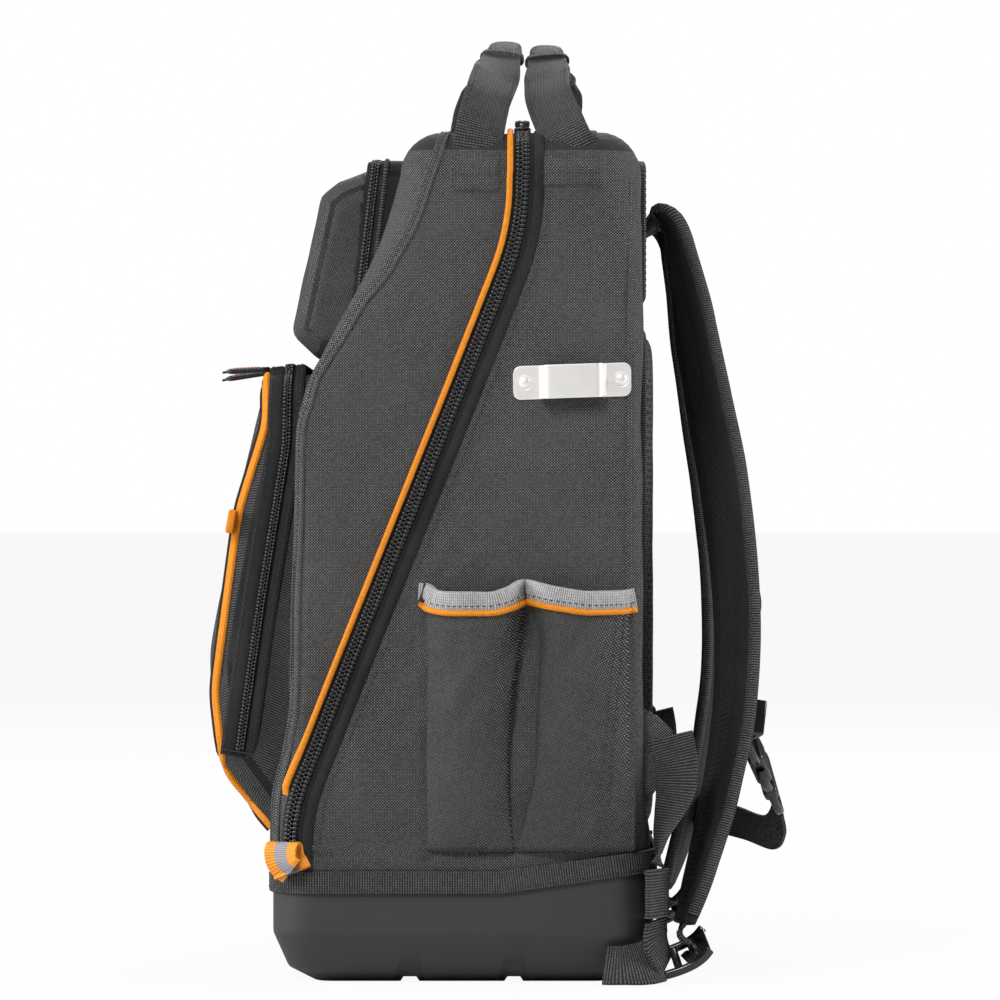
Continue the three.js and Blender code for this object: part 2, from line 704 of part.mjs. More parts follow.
function makeHandle(name, gripPlace, footPlace, turn) {
  const half = handleStations.map((row) => ({
    place: point(
      row.across * topHalfWidth,
      lerp(gripPlace, footPlace, row.lean),
      lerp(bagTop, handleTop, row.up),
    ),
    across: point(0, 1, 0).applyAxisAngle(point(0, 0, 1), rad(turn * row.twist)),
    width: lerp(gripWidth, handleWidth, row.width),
    thick: lerp(webbingThickness, gripThickness, row.thick),
  }));
  const otherHalf = half.slice(1).map((s) => ({
    ...s,
    place: point(-s.place.x, s.place.y, s.place.z),
    across: point(-s.across.x, s.across.y, s.across.z),
  }));
  const arch = solid(strap([...otherHalf.reverse(), ...half], 26, foldedSection));
  add(name, arch.subtract(clearOfBody), webBlack);
}

// Back of the bag

const bodyRear = 0.931 * baseHalfDepth;

// A padded panel on the back, thickest in its middle and thin at its sewn edges.
function backPanel(halfWidth, foot, head, thickness, edge, round) {
  const outline = (inset) => roundedOutline([
    { y: -halfWidth, z: foot, round },
    { y: halfWidth, z: foot, round },
    { y: halfWidth, z: head, round },
    { y: -halfWidth, z: head, round },
  ], inset, 3);
  const start = bodyRear + gap;
  const layers = [
    { y: start, inset: 0 },
    { y: start + thickness * 0.35, inset: 0 },
    { y: start + thickness * 0.8, inset: edge * 0.4 },
    { y: start + thickness, inset: edge },
  ];
  return skin(layers.map((layer) => outline(layer.inset).map((p) => point(p.x, layer.y, p.y))));
}

function makeBack() {
  const pad = solid(backPanel(padHalfWidth, padFoot, padTop, padProud, 14, 26));
  add("back_pad", pad.subtract(clearOfBody), nylonBlack);
  const plate = solid(backPanel(yokeHalfWidth, yokeFoot, yokeTop, yokeThickness, 2, 8));
  add("yoke", plate.subtract(clearOfBody), nylonBlack);
}

// Shoulder straps. across is a share of baseHalfWidth, out of baseHalfDepth and up of bagTop.
// The side nearer the edge of the bag is rolled backwards by roll degrees.
const shoulderStations = [
  { across: 0.29, out: 0.985, up: 0.900, width: 0.78, thick: 0.45, roll: 0 },
  { across: 0.29, out: 1.060, up: 0.912, width: 0.82, thick: 0.80, roll: 2 },
  { across: 0.31, out: 1.140, up: 0.894, width: 0.88, thick: 1, roll: 6 },
  { across: 0.34, out: 1.195, up: 0.842, width: 0.95, thick: 1, roll: 10 },
  { across: 0.39, out: 1.250, up: 0.770, width: 1, thick: 1, roll: 14 },
  { across: 0.46, out: 1.320, up: 0.680, width: 1, thick: 1, roll: 16 },
  { across: 0.54, out: 1.390, up: 0.590, width: 1, thick: 1, roll: 17 },
  { across: 0.62, out: 1.440, up: 0.490, width: 1, thick: 1, roll: 16 },
  { across: 0.69, out: 1.455, up: 0.395, width: 1, thick: 1, roll: 15 },
  { across: 0.75, out: 1.425, up: 0.300, width: 0.97, thick: 1, roll: 14 },
  { across: 0.80, out: 1.345, up: 0.210, width: 0.90, thick: 1, roll: 12 },
  { across: 0.84, out: 1.245, up: 0.125, width: 0.78, thick: 0.9, roll: 10 },
  { across: 0.86, out: 1.165, up: 0.068, width: 0.62, thick: 0.7, roll: 6 },
];

// A place beside the strap's own line: where along its stations, how far across and how far proud.
function onStrap(stationAt, acrossShare, proud) {
  const i = Math.min(Math.floor(stationAt), shoulderStations.length - 2);
  const mix = (key) => lerp(shoulderStations[i][key], shoulderStations[i + 1][key], stationAt - i);
  const next = shoulderStations[i + 1];
  const here = shoulderStations[i];
  const middle = point(mix("across") * baseHalfWidth, mix("out") * baseHalfDepth, mix("up") * bagTop);
  const tangent = point(
    (next.across - here.across) * baseHalfWidth,
    (next.out - here.out) * baseHalfDepth,
    (next.up - here.up) * bagTop,
  ).normalize();
  const roll = rad(mix("roll"));
  const side = point(Math.cos(roll), Math.sin(roll), 0);
  const normal = new THREE.Vector3().crossVectors(tangent, side).normalize();
  side.crossVectors(normal, tangent).normalize();
  const outwards = normal.y < 0 ? normal.negate() : normal;
  const place = middle.addScaledVector(side, acrossShare * strapWidth / 2)
    .addScaledVector(outwards, strapThickness / 2 * mix("thick") + proud);
  return { place, side, tangent, outwards };
}

// A solid made round the origin (length down the strap, width across it) and set on a frame.
function setOn(geometry, frame) {
  const out = new THREE.Vector3().crossVectors(frame.side, frame.tangent);
  const turn = new THREE.Matrix4().makeBasis(frame.side, frame.tangent, out);
  return geometry.applyMatrix4(turn).translate(frame.place.x, frame.place.y, frame.place.z);
}

function shoulderStrap(margin) {
  return strap(shoulderStations.map((row) => ({
    place: point(row.across * baseHalfWidth, row.out * baseHalfDepth, row.up * bagTop),
    across: point(Math.cos(rad(row.roll)), Math.sin(rad(row.roll)), 0),
    width: row.width * strapWidth + 2 * margin,
    thick: row.thick * strapThickness + 2 * margin,
  })), 22, paddedSection);
}
const clearOfStrap = solid(shoulderStrap(gap));

function makeShoulderStraps() {
  addPair("shoulder_strap", shoulderStrap(0), nylonBlack);
}

// Small fittings on the straps: an elastic loop, and the sliders that hold the chest strap.
const elasticLoop = { width: 40, height: 13, stand: 2.2 };
const chestSlider = { width: 30, height: 19, stand: 8 };

const fitted = (geometry) => geometryOf(solid(geometry).subtract(clearOfStrap));
const rightSliderAt = 8.93;
const leftSliderAt = 10.4;

// A block on the strap the size of a chest slider, grown by a margin.
function sliderBlock(stationAt, margin) {
  const { width, height, stand } = chestSlider;
  const block = new THREE.BoxGeometry(width + 2 * margin, height + 2 * margin, stand + 2 * margin);
  return setOn(block.translate(0, 0, stand / 2 + gap), onStrap(stationAt, 0, 0));
}

// The middle of a chest slider's side that faces the other strap.
function sliderSeat(stationAt) {
  const frame = onStrap(stationAt, 0, gap + chestSlider.stand / 2);
  return frame.place.addScaledVector(frame.side, -chestSlider.width / 2);
}

function makeStrapFittings() {
  const loop = new THREE.BoxGeometry(elasticLoop.width, elasticLoop.height, elasticLoop.stand);
  loop.translate(0, 0, elasticLoop.stand / 2 + gap);
  addPair("strap_loop", fitted(setOn(loop, onStrap(7.56, 0, 0))), webBlack);
  const rail = 3;
  const made = [rightSliderAt, leftSliderAt].map((stationAt) => {
    const hollow = new THREE.BoxGeometry(chestSlider.width - 2 * rail, 60, chestSlider.stand - 4);
    setOn(hollow.translate(0, 0, chestSlider.stand / 2 + gap), onStrap(stationAt, 0, 0));
    return fitted(geometryOf(solid(sliderBlock(stationAt, 0)).subtract(solid(hollow))));
  });
  add("chest_slider_right", made[0], buckleBlack);
  add("chest_slider_left", mirrored(made[1]), buckleBlack);
}

// Chest strap, fastened: a buckle hanging from the right slider and the webbing to the left one.
const chestStart = sliderSeat(rightSliderAt);
const chestEnd = point(0.345 * baseHalfWidth, 1.690 * baseHalfDepth, 0.207 * bagTop);
const chestWebStations = [
  { across: 0.330, along: 1.697, up: 0.203 },
  { across: 0.150, along: 1.725, up: 0.176 },
  { across: -0.200, along: 1.700, up: 0.150 },
  { across: -0.520, along: 1.560, up: 0.155 },
];

function makeChestStrap() {
  const along = chestEnd.clone().sub(chestStart);
  const length = along.length();
  along.normalize();
  const up = point(0.25, -0.35, 0.9);
  const side = new THREE.Vector3().crossVectors(up, along).normalize();
  up.crossVectors(along, side);
  const buckle = { wide: 30, thick: 9, neck: 21, neckThick: 4 };
  const block = new THREE.BoxGeometry(length * 0.78, buckle.thick, buckle.wide);
  const neck = new THREE.BoxGeometry(length, buckle.neckThick, buckle.neck);
  const made = geometryOf(solid(block).add(solid(neck)));
  made.applyMatrix4(new THREE.Matrix4().makeBasis(along, side, up));
  const middle = chestStart.clone().add(chestEnd).multiplyScalar(0.5);
  made.translate(middle.x, middle.y, middle.z);
  add("chest_buckle", solid(made).subtract(solid(sliderBlock(rightSliderAt, gap))), buckleBlack);
  const stations = chestWebStations.map((row) => ({
    place: point(row.across * baseHalfWidth, row.along * baseHalfDepth, row.up * bagTop),
    across: point(0.1, -0.3, 1),
    width: chestWebWidth,
    thick: webbingThickness,
  }));
  const seat = sliderSeat(leftSliderAt);
  const last = stations[stations.length - 1];
  stations.push({ ...last, place: point(-seat.x, seat.y, seat.z) });
  const leftBlock = solid(mirrored(sliderBlock(leftSliderAt, gap)));
  add("chest_web", solid(strap(stations, 14, flatSection)).subtract(leftBlock), webBlack);
}

// Ladder lock at the foot of a shoulder strap: a frame with two slots.
const lock = { width: 32, length: 29, thick: 4.2, rail: 3.4, bar: 4.6, tilt: 18 };
const lockPlace = point(0.892 * baseHalfWidth, 1.115 * baseHalfDepth, 8.4);

function lockBlock(margin) {
  const { width, length, thick } = lock;
  return new THREE.BoxGeometry(width + 2 * margin, length + 2 * margin, thick + 2 * margin);
}
const placeLock = (geometry) =>
  geometry.rotateX(rad(lock.tilt)).translate(lockPlace.x, lockPlace.y, lockPlace.z);

function makeLadderLocks() {
  const slotWidth = lock.width - 2 * lock.rail;
  const slotLength = (lock.length - 3 * lock.bar) / 2;
  const slots = [-1, 1].map((side) =>
    new THREE.BoxGeometry(slotWidth, slotLength, 20).translate(0, (side * (lock.bar + slotLength)) / 2, 0));
  const made = slots.reduce((left, slot) => left.subtract(solid(slot)), solid(lockBlock(0)));
  addPair("ladder_lock", placeLock(geometryOf(made)), buckleBlack);
}

// Webbing below the straps, as stations in the side view. across is a share of baseHalfWidth, along
// of baseHalfDepth and up of bagTop. turn is the way the webbing's width points in plan: 0 is along
// the side of the bag and 90 straight across it. rise lifts the width out of the plan.
const lowerWebStations = [
  { across: 0.933, along: 1.085, up: 0.290, turn: 8, rise: 0 },
  { across: 0.960, along: 1.115, up: 0.257, turn: 26, rise: 0 },
  { across: 0.972, along: 1.112, up: 0.228, turn: 32, rise: 0 },
  { across: 0.986, along: 1.075, up: 0.200, turn: 55, rise: 0 },
  { across: 0.997, along: 1.037, up: 0.174, turn: 76, rise: 0 },
  { across: 1.004, along: 1.024, up: 0.152, turn: 90, rise: 0 },
  { across: 1.009, along: 1.018, up: 0.1395, turn: 108, rise: 0 },
];
const keeperPlace = point(1.011 * baseHalfWidth, 1.013 * baseHalfDepth, 47.4);
const keeper = { height: 24, wide: 27, deep: 5, turn: 114 };
const lockWebStations = [
  { across: 1.004, along: 1.010, up: 0.0755, turn: 116, rise: 0 },
  { across: 0.995, along: 1.006, up: 0.052, turn: 122, rise: 0 },
  { across: 0.965, along: 1.058, up: 0.020, turn: 112, rise: 0 },
];
const tailStations = [
  { across: 1.002, along: 1.020, up: 0.0290, turn: 90, rise: -66 },
  { across: 1.035, along: 0.930, up: 0.0250, turn: 90, rise: -54 },
  { across: 1.052, along: 0.830, up: 0.0242, turn: 90, rise: -50 },
  { across: 1.045, along: 0.735, up: 0.0242, turn: 90, rise: -50 },
];
const wingOutline = [
  { y: 90, z: 142, round: 0 },
  { y: 90, z: 98, round: 0 },
  { y: 95, z: 98, round: 2 },
  { y: 109, z: 113, round: 3 },
  { y: 109, z: 131, round: 3 },
  { y: 95, z: 142, round: 2 },
];
const wingPlace = 0.905 * baseHalfWidth;

function webbing(rows, steps) {
  return solid(strap(rows.map((row) => ({
    place: point(row.across * baseHalfWidth, row.along * baseHalfDepth, row.up * bagTop),
    across: point(
      Math.sin(rad(row.turn)) * Math.cos(rad(row.rise)),
      Math.cos(rad(row.turn)) * Math.cos(rad(row.rise)),
      Math.sin(rad(row.rise)),
    ),
    width: lowerWebWidth,
    thick: webbingThickness,
  })), steps, flatSection));
}

function makeLowerWebs() {
  addPair("lower_web", webbing(lowerWebStations, 14), webBlack);
  const sleeve = new THREE.BoxGeometry(keeper.deep, keeper.wide, keeper.height);
  sleeve.rotateZ(rad(-keeper.turn)).translate(keeperPlace.x, keeperPlace.y, keeperPlace.z);
  addPair("web_keeper", sleeve, webBlack);
  const toLock = webbing(lockWebStations, 5).subtract(solid(placeLock(lockBlock(gap))));
  const tail = toLock.add(webbing(tailStations, 7));
  addPair("web_tail", tail, webBlack);
  const half = clothWall / 2;
  const wing = prism(roundedOutline(wingOutline, 0, 2), wingPlace - half, wingPlace + half);
  addPair("strap_wing", wing.subtract(clearOfBody), nylonBlack);
}

// Small trims on the front: ribbon loops at the zip's ends, piping, a flag and the pocket's pulls

const tabLoop = { length: 17, rear: 4.5, thick: 8, height: 13.5, wall: 1.5, foot: 60.2, turn: 28 };
const pocketPipingRun = fromFront([
  { y: -4.5, z: 350, round: 0 },
  { y: -3.9, z: 292, round: 40 },
  { y: -19, z: 245, round: 120 },
  { y: -32, z: 150, round: 60 },
  { y: -26.5, z: 108, round: 25 },
  { y: 7.5, z: 66, round: 0 },
]);
const flag = { foot: 235, head: 246, length: 4.6, wide: 16, proud: 2 };
const pocketPulls = [
  { name: "pocket_slider_right", x: 15, tip: 3 },
  { name: "pocket_slider_left", x: -13, tip: 9 },
];

function makeTrims() {
  const loopShape = (inset) => roundedOutline([
    { y: -tabLoop.thick / 2, z: 0, round: 3.4 },
    { y: tabLoop.thick / 2, z: 0, round: 3.4 },
    { y: tabLoop.thick / 2, z: tabLoop.height, round: 3.4 },
    { y: -tabLoop.thick / 2, z: tabLoop.height, round: 3.4 },
  ], inset, 2);
  const shape = new THREE.Shape(loopShape(0));
  shape.holes.push(new THREE.Path(loopShape(tabLoop.wall)));
  const ribbon = new THREE.ExtrudeGeometry(shape, { depth: tabLoop.length, bevelEnabled: false });
  ribbon.rotateX(rad(90)).translate(0, tabLoop.rear, 0).rotateZ(rad(-tabLoop.turn));
  const stand = cornerRound + zipTeethProud + gap + tabLoop.thick / 2;
  ribbon.translate(
    baseHalfWidth - cornerRound + stand * Math.cos(rad(tabLoop.turn)),
    -baseHalfDepth + cornerRound - stand * Math.sin(rad(tabLoop.turn)),
    tabLoop.foot,
  );
  addPair("tab_loop", solid(ribbon).subtract(body(-zipTeethProud - gap)), orangeCord);

  const run = roundedLine(pocketPipingRun);
  const form = (inset) => pillow(lowerPocketCorners, lowerPocketHalfWidth, lowerPocketRound, inset);
  const half = pipingWidth / 2;
  const band = prism([...offsetLine(run, -half), ...offsetLine(run, half).reverse()]);
  const ring = form(-pipingProud).subtract(form(-gap)).intersect(band);
  add("lower_pocket_piping", ring.subtract(clearOfBody), orangeCord);
  const near = half + gap;
  const beside = prism([...offsetLine(run, -near), ...offsetLine(run, -near - flag.length).reverse()]);
  const level = prism([
    new THREE.Vector2(-farOut, flag.foot),
    new THREE.Vector2(0, flag.foot),
    new THREE.Vector2(0, flag.head),
    new THREE.Vector2(-farOut, flag.head),
  ], lowerPocketHalfWidth - flag.wide);
  const patch = form(-flag.proud).subtract(form(-gap)).intersect(beside).intersect(level);
  add("pocket_flag", patch, orangeCord);

  const head = { y: 4 - baseHalfDepth, stand: 318 + 1.3 + gap, length: 12, reach: 38 };
  for (const { name, x, tip } of pocketPulls) {
    const block = new THREE.BoxGeometry(slider.width, head.length, slider.height);
    block.translate(x, head.y, head.stand + slider.height / 2);
    const pull = new THREE.BoxGeometry(slider.pullWidth, head.reach, slider.pullThick);
    pull.translate(0, -head.reach / 2, 0).rotateX(rad(tip));
    pull.translate(x, head.y + head.reach / 2, head.stand + slider.height);
    add(name, solid(block).add(solid(pull)), buckleBlack);
  }
}

makeBase();
makeBody();
makeMainSliders();
makeHardPocket();
makeLowerPocket();
makeSlipPockets();
makeClip();
makeHandle("handle_front", 23, 7, 1);
makeHandle("handle_rear", 43, 57.5, -1);
makeBack();
makeShoulderStraps();
makeStrapFittings();
makeChestStrap();
makeLadderLocks();
makeLowerWebs();
makeTrims();

export default bag;
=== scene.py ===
# %% [markdown]
# # A tool backpack on its moulded base
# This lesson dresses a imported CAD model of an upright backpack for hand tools. The CAD solids stay
# for the physics, and each of them is replaced here by a piece that looks like cloth, webbing,
# coil zip, steel or moulded plastic. Lengths in the helpers are millimetres, and every finished
# mesh is scaled to metres, the unit of the frame.

import json
import math

import bmesh
import bpy
from mathutils import Matrix, Vector, noise

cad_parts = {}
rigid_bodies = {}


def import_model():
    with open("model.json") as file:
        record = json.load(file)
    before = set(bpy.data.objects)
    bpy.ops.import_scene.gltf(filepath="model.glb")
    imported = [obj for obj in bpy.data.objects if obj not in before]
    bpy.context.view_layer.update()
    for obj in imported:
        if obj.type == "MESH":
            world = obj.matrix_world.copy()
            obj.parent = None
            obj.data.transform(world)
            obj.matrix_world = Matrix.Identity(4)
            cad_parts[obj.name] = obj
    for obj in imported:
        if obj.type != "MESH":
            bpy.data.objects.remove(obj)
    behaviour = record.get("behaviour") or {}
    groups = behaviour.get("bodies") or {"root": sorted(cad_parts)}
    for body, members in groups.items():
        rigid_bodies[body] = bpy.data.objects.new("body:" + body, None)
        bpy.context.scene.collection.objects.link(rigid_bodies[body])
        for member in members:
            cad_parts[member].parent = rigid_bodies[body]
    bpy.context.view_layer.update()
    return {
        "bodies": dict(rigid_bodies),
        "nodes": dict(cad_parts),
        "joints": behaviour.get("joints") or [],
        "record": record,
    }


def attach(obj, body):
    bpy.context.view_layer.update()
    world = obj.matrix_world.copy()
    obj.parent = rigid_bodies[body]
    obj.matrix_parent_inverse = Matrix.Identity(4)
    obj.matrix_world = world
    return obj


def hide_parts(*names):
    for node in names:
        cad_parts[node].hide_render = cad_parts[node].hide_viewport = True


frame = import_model()

# %% [markdown]
# ## Numbers that the whole bag shares
# The bag leans in from its base to its top and its corners are rounded. These are the same values
# as in the CAD model, because a piece that is sewn on has to lie on the same surface. Tables that
# are read at any height are smoothed with a monotone curve, which never overshoots its rows, so
# the silhouette keeps close to the solid's.

# %% sizes and small maths
BAG_TOP, HALF_DEPTH, CORNER, CROWN = 444.0, 99.5, 22.0, 22.0
BASE_HALF_WIDTH, TOP_HALF_WIDTH, LEAN_START = 174.0, 165.0, 60.0
CROWN_FOOT = BAG_TOP - CROWN
CROWN_ARC = CROWN * math.pi / 2


def lerp(a, b, share):
    return a + (b - a) * share


def clamp(x, low=0.0, high=1.0):
    return max(low, min(high, x))


def ease(x):
    x = clamp(x)
    return x * x * (3 - 2 * x)


def bell(x, middle, half):
    return ease(1 - abs(x - middle) / half)


def smooth_table(rows):
    """Reads a table at any place: rows are (place, value, value, ...), in rising order."""
    places = [r[0] for r in rows]
    columns = list(zip(*[r[1:] for r in rows]))
    slopes = []
    for column in columns:
        rises = [(column[i + 1] - column[i]) / (places[i + 1] - places[i]) for i in range(len(rows) - 1)]
        inner = [2 * a * b / (a + b) if a * b > 0 else 0.0 for a, b in zip(rises, rises[1:])]
        slopes.append([rises[0], *inner, rises[-1]])

    def read(x):
        x = clamp(x, places[0], places[-1])
        i = max(k for k in range(len(places) - 1) if places[k] <= x)
        wide = places[i + 1] - places[i]
        t = (x - places[i]) / wide
        values = []
        for column, slope in zip(columns, slopes):
            a, b, c, d = column[i], column[i + 1], slope[i] * wide, slope[i + 1] * wide
            values.append(a + t * (c + t * (3 * (b - a) - 2 * c - d + t * (2 * (a - b) + c + d))))
        return values

    return read


def side_at(z):
    return lerp(BASE_HALF_WIDTH, TOP_HALF_WIDTH, max(0.0, z - LEAN_START) / (BAG_TOP - LEAN_START))


print("half width at the base and at the top", side_at(60), side_at(444))

# %% [markdown]
# ## From a flat grid to a piece
# Cloth panels, tapes, tubes and straps all start as `bmesh.ops.create_grid` and are draped over a
# function that says where each point of the grid lies. The function also gives the point's place
# on the flat cloth in metres, which becomes the UV map, so a weave keeps its true size and turns
# with the piece. A bead such as a stitch or a zip tooth is made once, doubled with
# `bmesh.ops.duplicate` until there are enough, and then each copy is set on its own frame.

# %% grids, beads and finished pieces
MM = 0.001


def draped(columns, rows, place):
    bm = bmesh.new()
    cloth = bm.loops.layers.uv.new("Cloth")
    bmesh.ops.create_grid(bm, x_segments=columns, y_segments=rows, size=1)
    placed = {v: place((v.co.x + 1) / 2, (v.co.y + 1) / 2) for v in bm.verts}
    for face in bm.faces:
        for loop in face.loops:
            u, v = placed[loop.vert][1]
            loop[cloth].uv = (u * MM, v * MM)
    for vert, (point, _) in placed.items():
        vert.co = point
    return bm


def close(bm, caps=True):
    bmesh.ops.remove_doubles(bm, verts=bm.verts, dist=0.01)
    if caps:
        rim = [e for e in bm.edges if e.is_boundary]
        if rim:
            bmesh.ops.holes_fill(bm, edges=rim, sides=0)
    bmesh.ops.recalc_face_normals(bm, faces=bm.faces)
    return bm


def thick(bm, depth):
    """A wall on the inner side of an open sheet whose faces point outwards."""
    bmesh.ops.solidify(bm, geom=bm.faces[:], thickness=depth)
    bmesh.ops.recalc_face_normals(bm, faces=bm.faces)
    return bm


def joined(parts):
    whole = bmesh.new()
    for bm in parts:
        scratch = bpy.data.meshes.new("scratch")
        bm.to_mesh(scratch)
        bm.free()
        whole.from_mesh(scratch)
        bpy.data.meshes.remove(scratch)
    return whole


def beads(make_bead, frames):
    """One bead per frame. A frame is a 4x4 matrix in millimetres. Writing the first bead out and
    reading it back leaves no free places, so each copy's vertices follow the last one's."""
    bm = bmesh.new()
    make_bead(bm)
    bm = joined([bm])
    size = len(bm.verts)
    while len(bm.verts) < size * len(frames):
        room = size * len(frames) - len(bm.verts)
        chosen = set(bm.verts[:min(room, len(bm.verts))])
        faces = [f for f in bm.faces if f.verts[0] in chosen]
        bmesh.ops.duplicate(bm, geom=[*chosen, *{e for f in faces for e in f.edges}, *faces])
        bm.verts.ensure_lookup_table()
    for k, where in enumerate(frames):
        for vert in bm.verts[k * size:(k + 1) * size]:
            vert.co = where @ vert.co
    return bm


def mirrored(bm):
    other = bm.copy()
    bmesh.ops.scale(other, vec=(-1, 1, 1), verts=other.verts)
    bmesh.ops.reverse_faces(other, faces=other.faces)
    return other


made_pieces = []


def piece(name, bm, material, replaces=(), sharp=40):
    bmesh.ops.scale(bm, vec=(MM, MM, MM), verts=bm.verts)
    mesh = bpy.data.meshes.new(name)
    bm.to_mesh(mesh)
    bm.free()
    obj = bpy.data.objects.new(name, mesh)
    bpy.context.scene.collection.objects.link(obj)
    mesh.materials.append(material)
    mesh.shade_smooth()
    mesh.set_sharp_from_angle(angle=math.radians(sharp))
    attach(obj, "root")
    if replaces:
        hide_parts(*replaces)
    made_pieces.append(obj)
    return obj


def pair(name, bm, material, replaces=(), sharp=40):
    """The piece on the wearer's right and its mirror image on the left."""
    other = mirrored(bm)
    right = piece(name + "_right", bm, material, [r + "_right" for r in replaces], sharp)
    left = piece(name + "_left", other, material, [r + "_left" for r in replaces], sharp)
    return right, left


# %% [markdown]
# ## Lines along a surface
# A seam, a zip or a row of stitches is a line drawn on a surface. `rounded` gives a line with
# rounded corners, `along` walks on it in equal steps, and for each step it knows the surface's
# outward direction, so a tape, a cord or a stitch can be set beside the line and proud of it.

# %% lines
def rounded(corners, steps=8):
    """An open line through (a, b, round) corners."""
    points = []
    for i, (a, b, radius) in enumerate(corners):
        here = Vector((a, b))
        if i in (0, len(corners) - 1) or radius < 0.05:
            points.append(here)
            continue
        back = (Vector(corners[i - 1][:2]) - here).normalized()
        ahead = (Vector(corners[i + 1][:2]) - here).normalized()
        half = math.acos(clamp(back.dot(ahead), -1, 1)) / 2
        reach = radius / math.tan(half)
        start, end = here + back * reach, here + ahead * reach
        for k in range(steps + 1):
            t = k / steps
            points.append(start * (1 - t) ** 2 + here * 2 * t * (1 - t) + end * t ** 2)
    return points


def even(points, step):
    """The same line with its points in equal steps."""
    lengths = [0.0]
    for a, b in zip(points, points[1:]):
        lengths.append(lengths[-1] + (b - a).length)
    count = max(2, round(lengths[-1] / step))
    out, i = [], 0
    for k in range(count + 1):
        want = lengths[-1] * k / count
        while i < len(points) - 2 and lengths[i + 1] < want:
            i += 1
        share = (want - lengths[i]) / max(lengths[i + 1] - lengths[i], 1e-9)
        out.append(points[i].lerp(points[i + 1], clamp(share)))
    return out


def outward(surface, a, b):
    """The surface's point and its outward direction, from two short steps."""
    here = surface(a, b)
    da, db = surface(a + 0.4, b) - surface(a - 0.4, b), surface(a, b + 0.4) - surface(a, b - 0.4)
    return here, da.cross(db).normalized()


def found(lengths, s):
    """The stretch that a length along a line falls in, and the share of the way through it."""
    s = clamp(s, 0, lengths[-1])
    low, high = 0, len(lengths) - 1
    while high - low > 1:
        mid = (low + high) // 2
        low, high = (mid, high) if lengths[mid] <= s else (low, mid)
    return low, (s - lengths[low]) / max(lengths[high] - lengths[low], 1e-9)


class Along:
    """A line (a, b) on a surface. at(s, across, proud) gives point, forward, outward."""

    def __init__(self, surface, points, step=2.5):
        self.surface, self.points = surface, even(points, step)
        self.lengths = [0.0]
        for p, q in zip(self.points, self.points[1:]):
            mid = self.lengths[-1] + (surface(q.x, q.y) - surface(p.x, p.y)).length
            self.lengths.append(mid)
        self.length = self.lengths[-1]
        self.ways = []
        for i in range(len(self.points)):
            p, q = self.points[max(i - 1, 0)], self.points[min(i + 1, len(self.points) - 1)]
            self.ways.append((q - p).normalized())

    def at(self, s, across=0.0, proud=0.0):
        i, share = found(self.lengths, s)
        flat = self.points[i].lerp(self.points[i + 1], share)
        way = self.ways[i].lerp(self.ways[i + 1], share).normalized()
        a, b = flat.x + way.y * across, flat.y - way.x * across
        point, out = outward(self.surface, a, b)
        forward = self.surface(a + way.x * 0.5, b + way.y * 0.5) - point
        forward = (forward - out * forward.dot(out)).normalized()
        return point + out * proud, forward, out

    def frame(self, s, across=0.0, proud=0.0, turn=0.0, size=(1, 1, 1)):
        """A bead's frame: x forward, y across, z outward."""
        point, forward, out = self.at(s, across, proud)
        side = out.cross(forward)
        basis = Matrix((forward, side, out)).transposed().to_4x4()
        return Matrix.Translation(point) @ basis @ Matrix.Rotation(math.radians(turn), 4, "Z") @ \
            Matrix.Diagonal((*size, 1))


def sewn(line, section, start=0.0, end=None, step=2.5, closed=True, taper=0.0):
    """A strip carried along a line. section holds (across, proud) points."""
    end = line.length if end is None else end
    rows = max(2, round((end - start) / step))
    count = len(section) if closed else len(section) - 1
    girth = [0.0]
    for i in range(count):
        (a, b), (c, d) = section[i], section[(i + 1) % len(section)]
        girth.append(girth[-1] + math.hypot(c - a, d - b))

    def place(s, t):
        i = round(s * count)
        across, proud = section[i % len(section)]
        along = lerp(start, end, t)
        if taper:
            proud *= ease(min(along - start, end - along) / taper + 0.02)
        return line.at(along, across, proud)[0], (girth[i], along)

    bm = draped(count, rows, place)
    return close(bm) if closed else bm


def round_section(radius_across, radius_out, middle=0.0, lift=0.0, count=10):
    turns = [2 * math.pi * k / count for k in range(count)]
    return [(middle + radius_across * math.cos(t), lift + radius_out * math.sin(t)) for t in turns]


def stitch_bead(bm):
    bmesh.ops.create_uvsphere(bm, u_segments=6, v_segments=4, radius=1)
    bmesh.ops.rotate(bm, verts=bm.verts, cent=(0, 0, 0), matrix=Matrix.Rotation(math.pi / 2, 3, "Y"))


def both_sides(frames):
    """The frames, and their mirror images on the bag's other side."""
    return frames + [Matrix.Diagonal((-1, 1, 1, 1)) @ f for f in frames]


def stitch_frames(line, across=0.0, proud=0.35, start=0.0, end=None, pitch=3.4, length=2.3, wide=0.34):
    end = line.length if end is None else end
    count = max(1, int((end - start) / pitch))
    return [line.frame(start + (k + 0.5) * (end - start) / count, across, proud,
                       turn=2.5, size=(length / 2, wide, wide)) for k in range(count)]


all_stitches = []
print("helpers ready")

# %% [markdown]
# ## Effects that several finishes share
# Weave, ribs, wear and dust come back in many finishes, so each is a node group that is built
# once. A group reads the cloth's UV map or the object's own coordinates and puts out only masks
# and heights. The shader itself stays in each material, with its constants set on its sockets.

# %% node helpers
def put(tree, kind, settings=None, **inputs):
    """Adds a node. An input is a value or another node's socket, and its name may be an index."""
    node = tree.nodes.new(kind)
    for key, value in (settings or {}).items():
        setattr(node, key, value)
    for key, value in inputs.items():
        socket = node.inputs[int(key[1:]) if key[0] == "i" and key[1:].isdigit() else key.replace("_", " ")]
        if isinstance(value, bpy.types.NodeSocket):
            tree.links.new(value, socket)
        else:
            socket.default_value = value
    return node


def maths(tree, operation, a, b=0.0, c=0.0):
    return put(tree, "ShaderNodeMath", {"operation": operation}, i0=a, i1=b, i2=c).outputs[0]


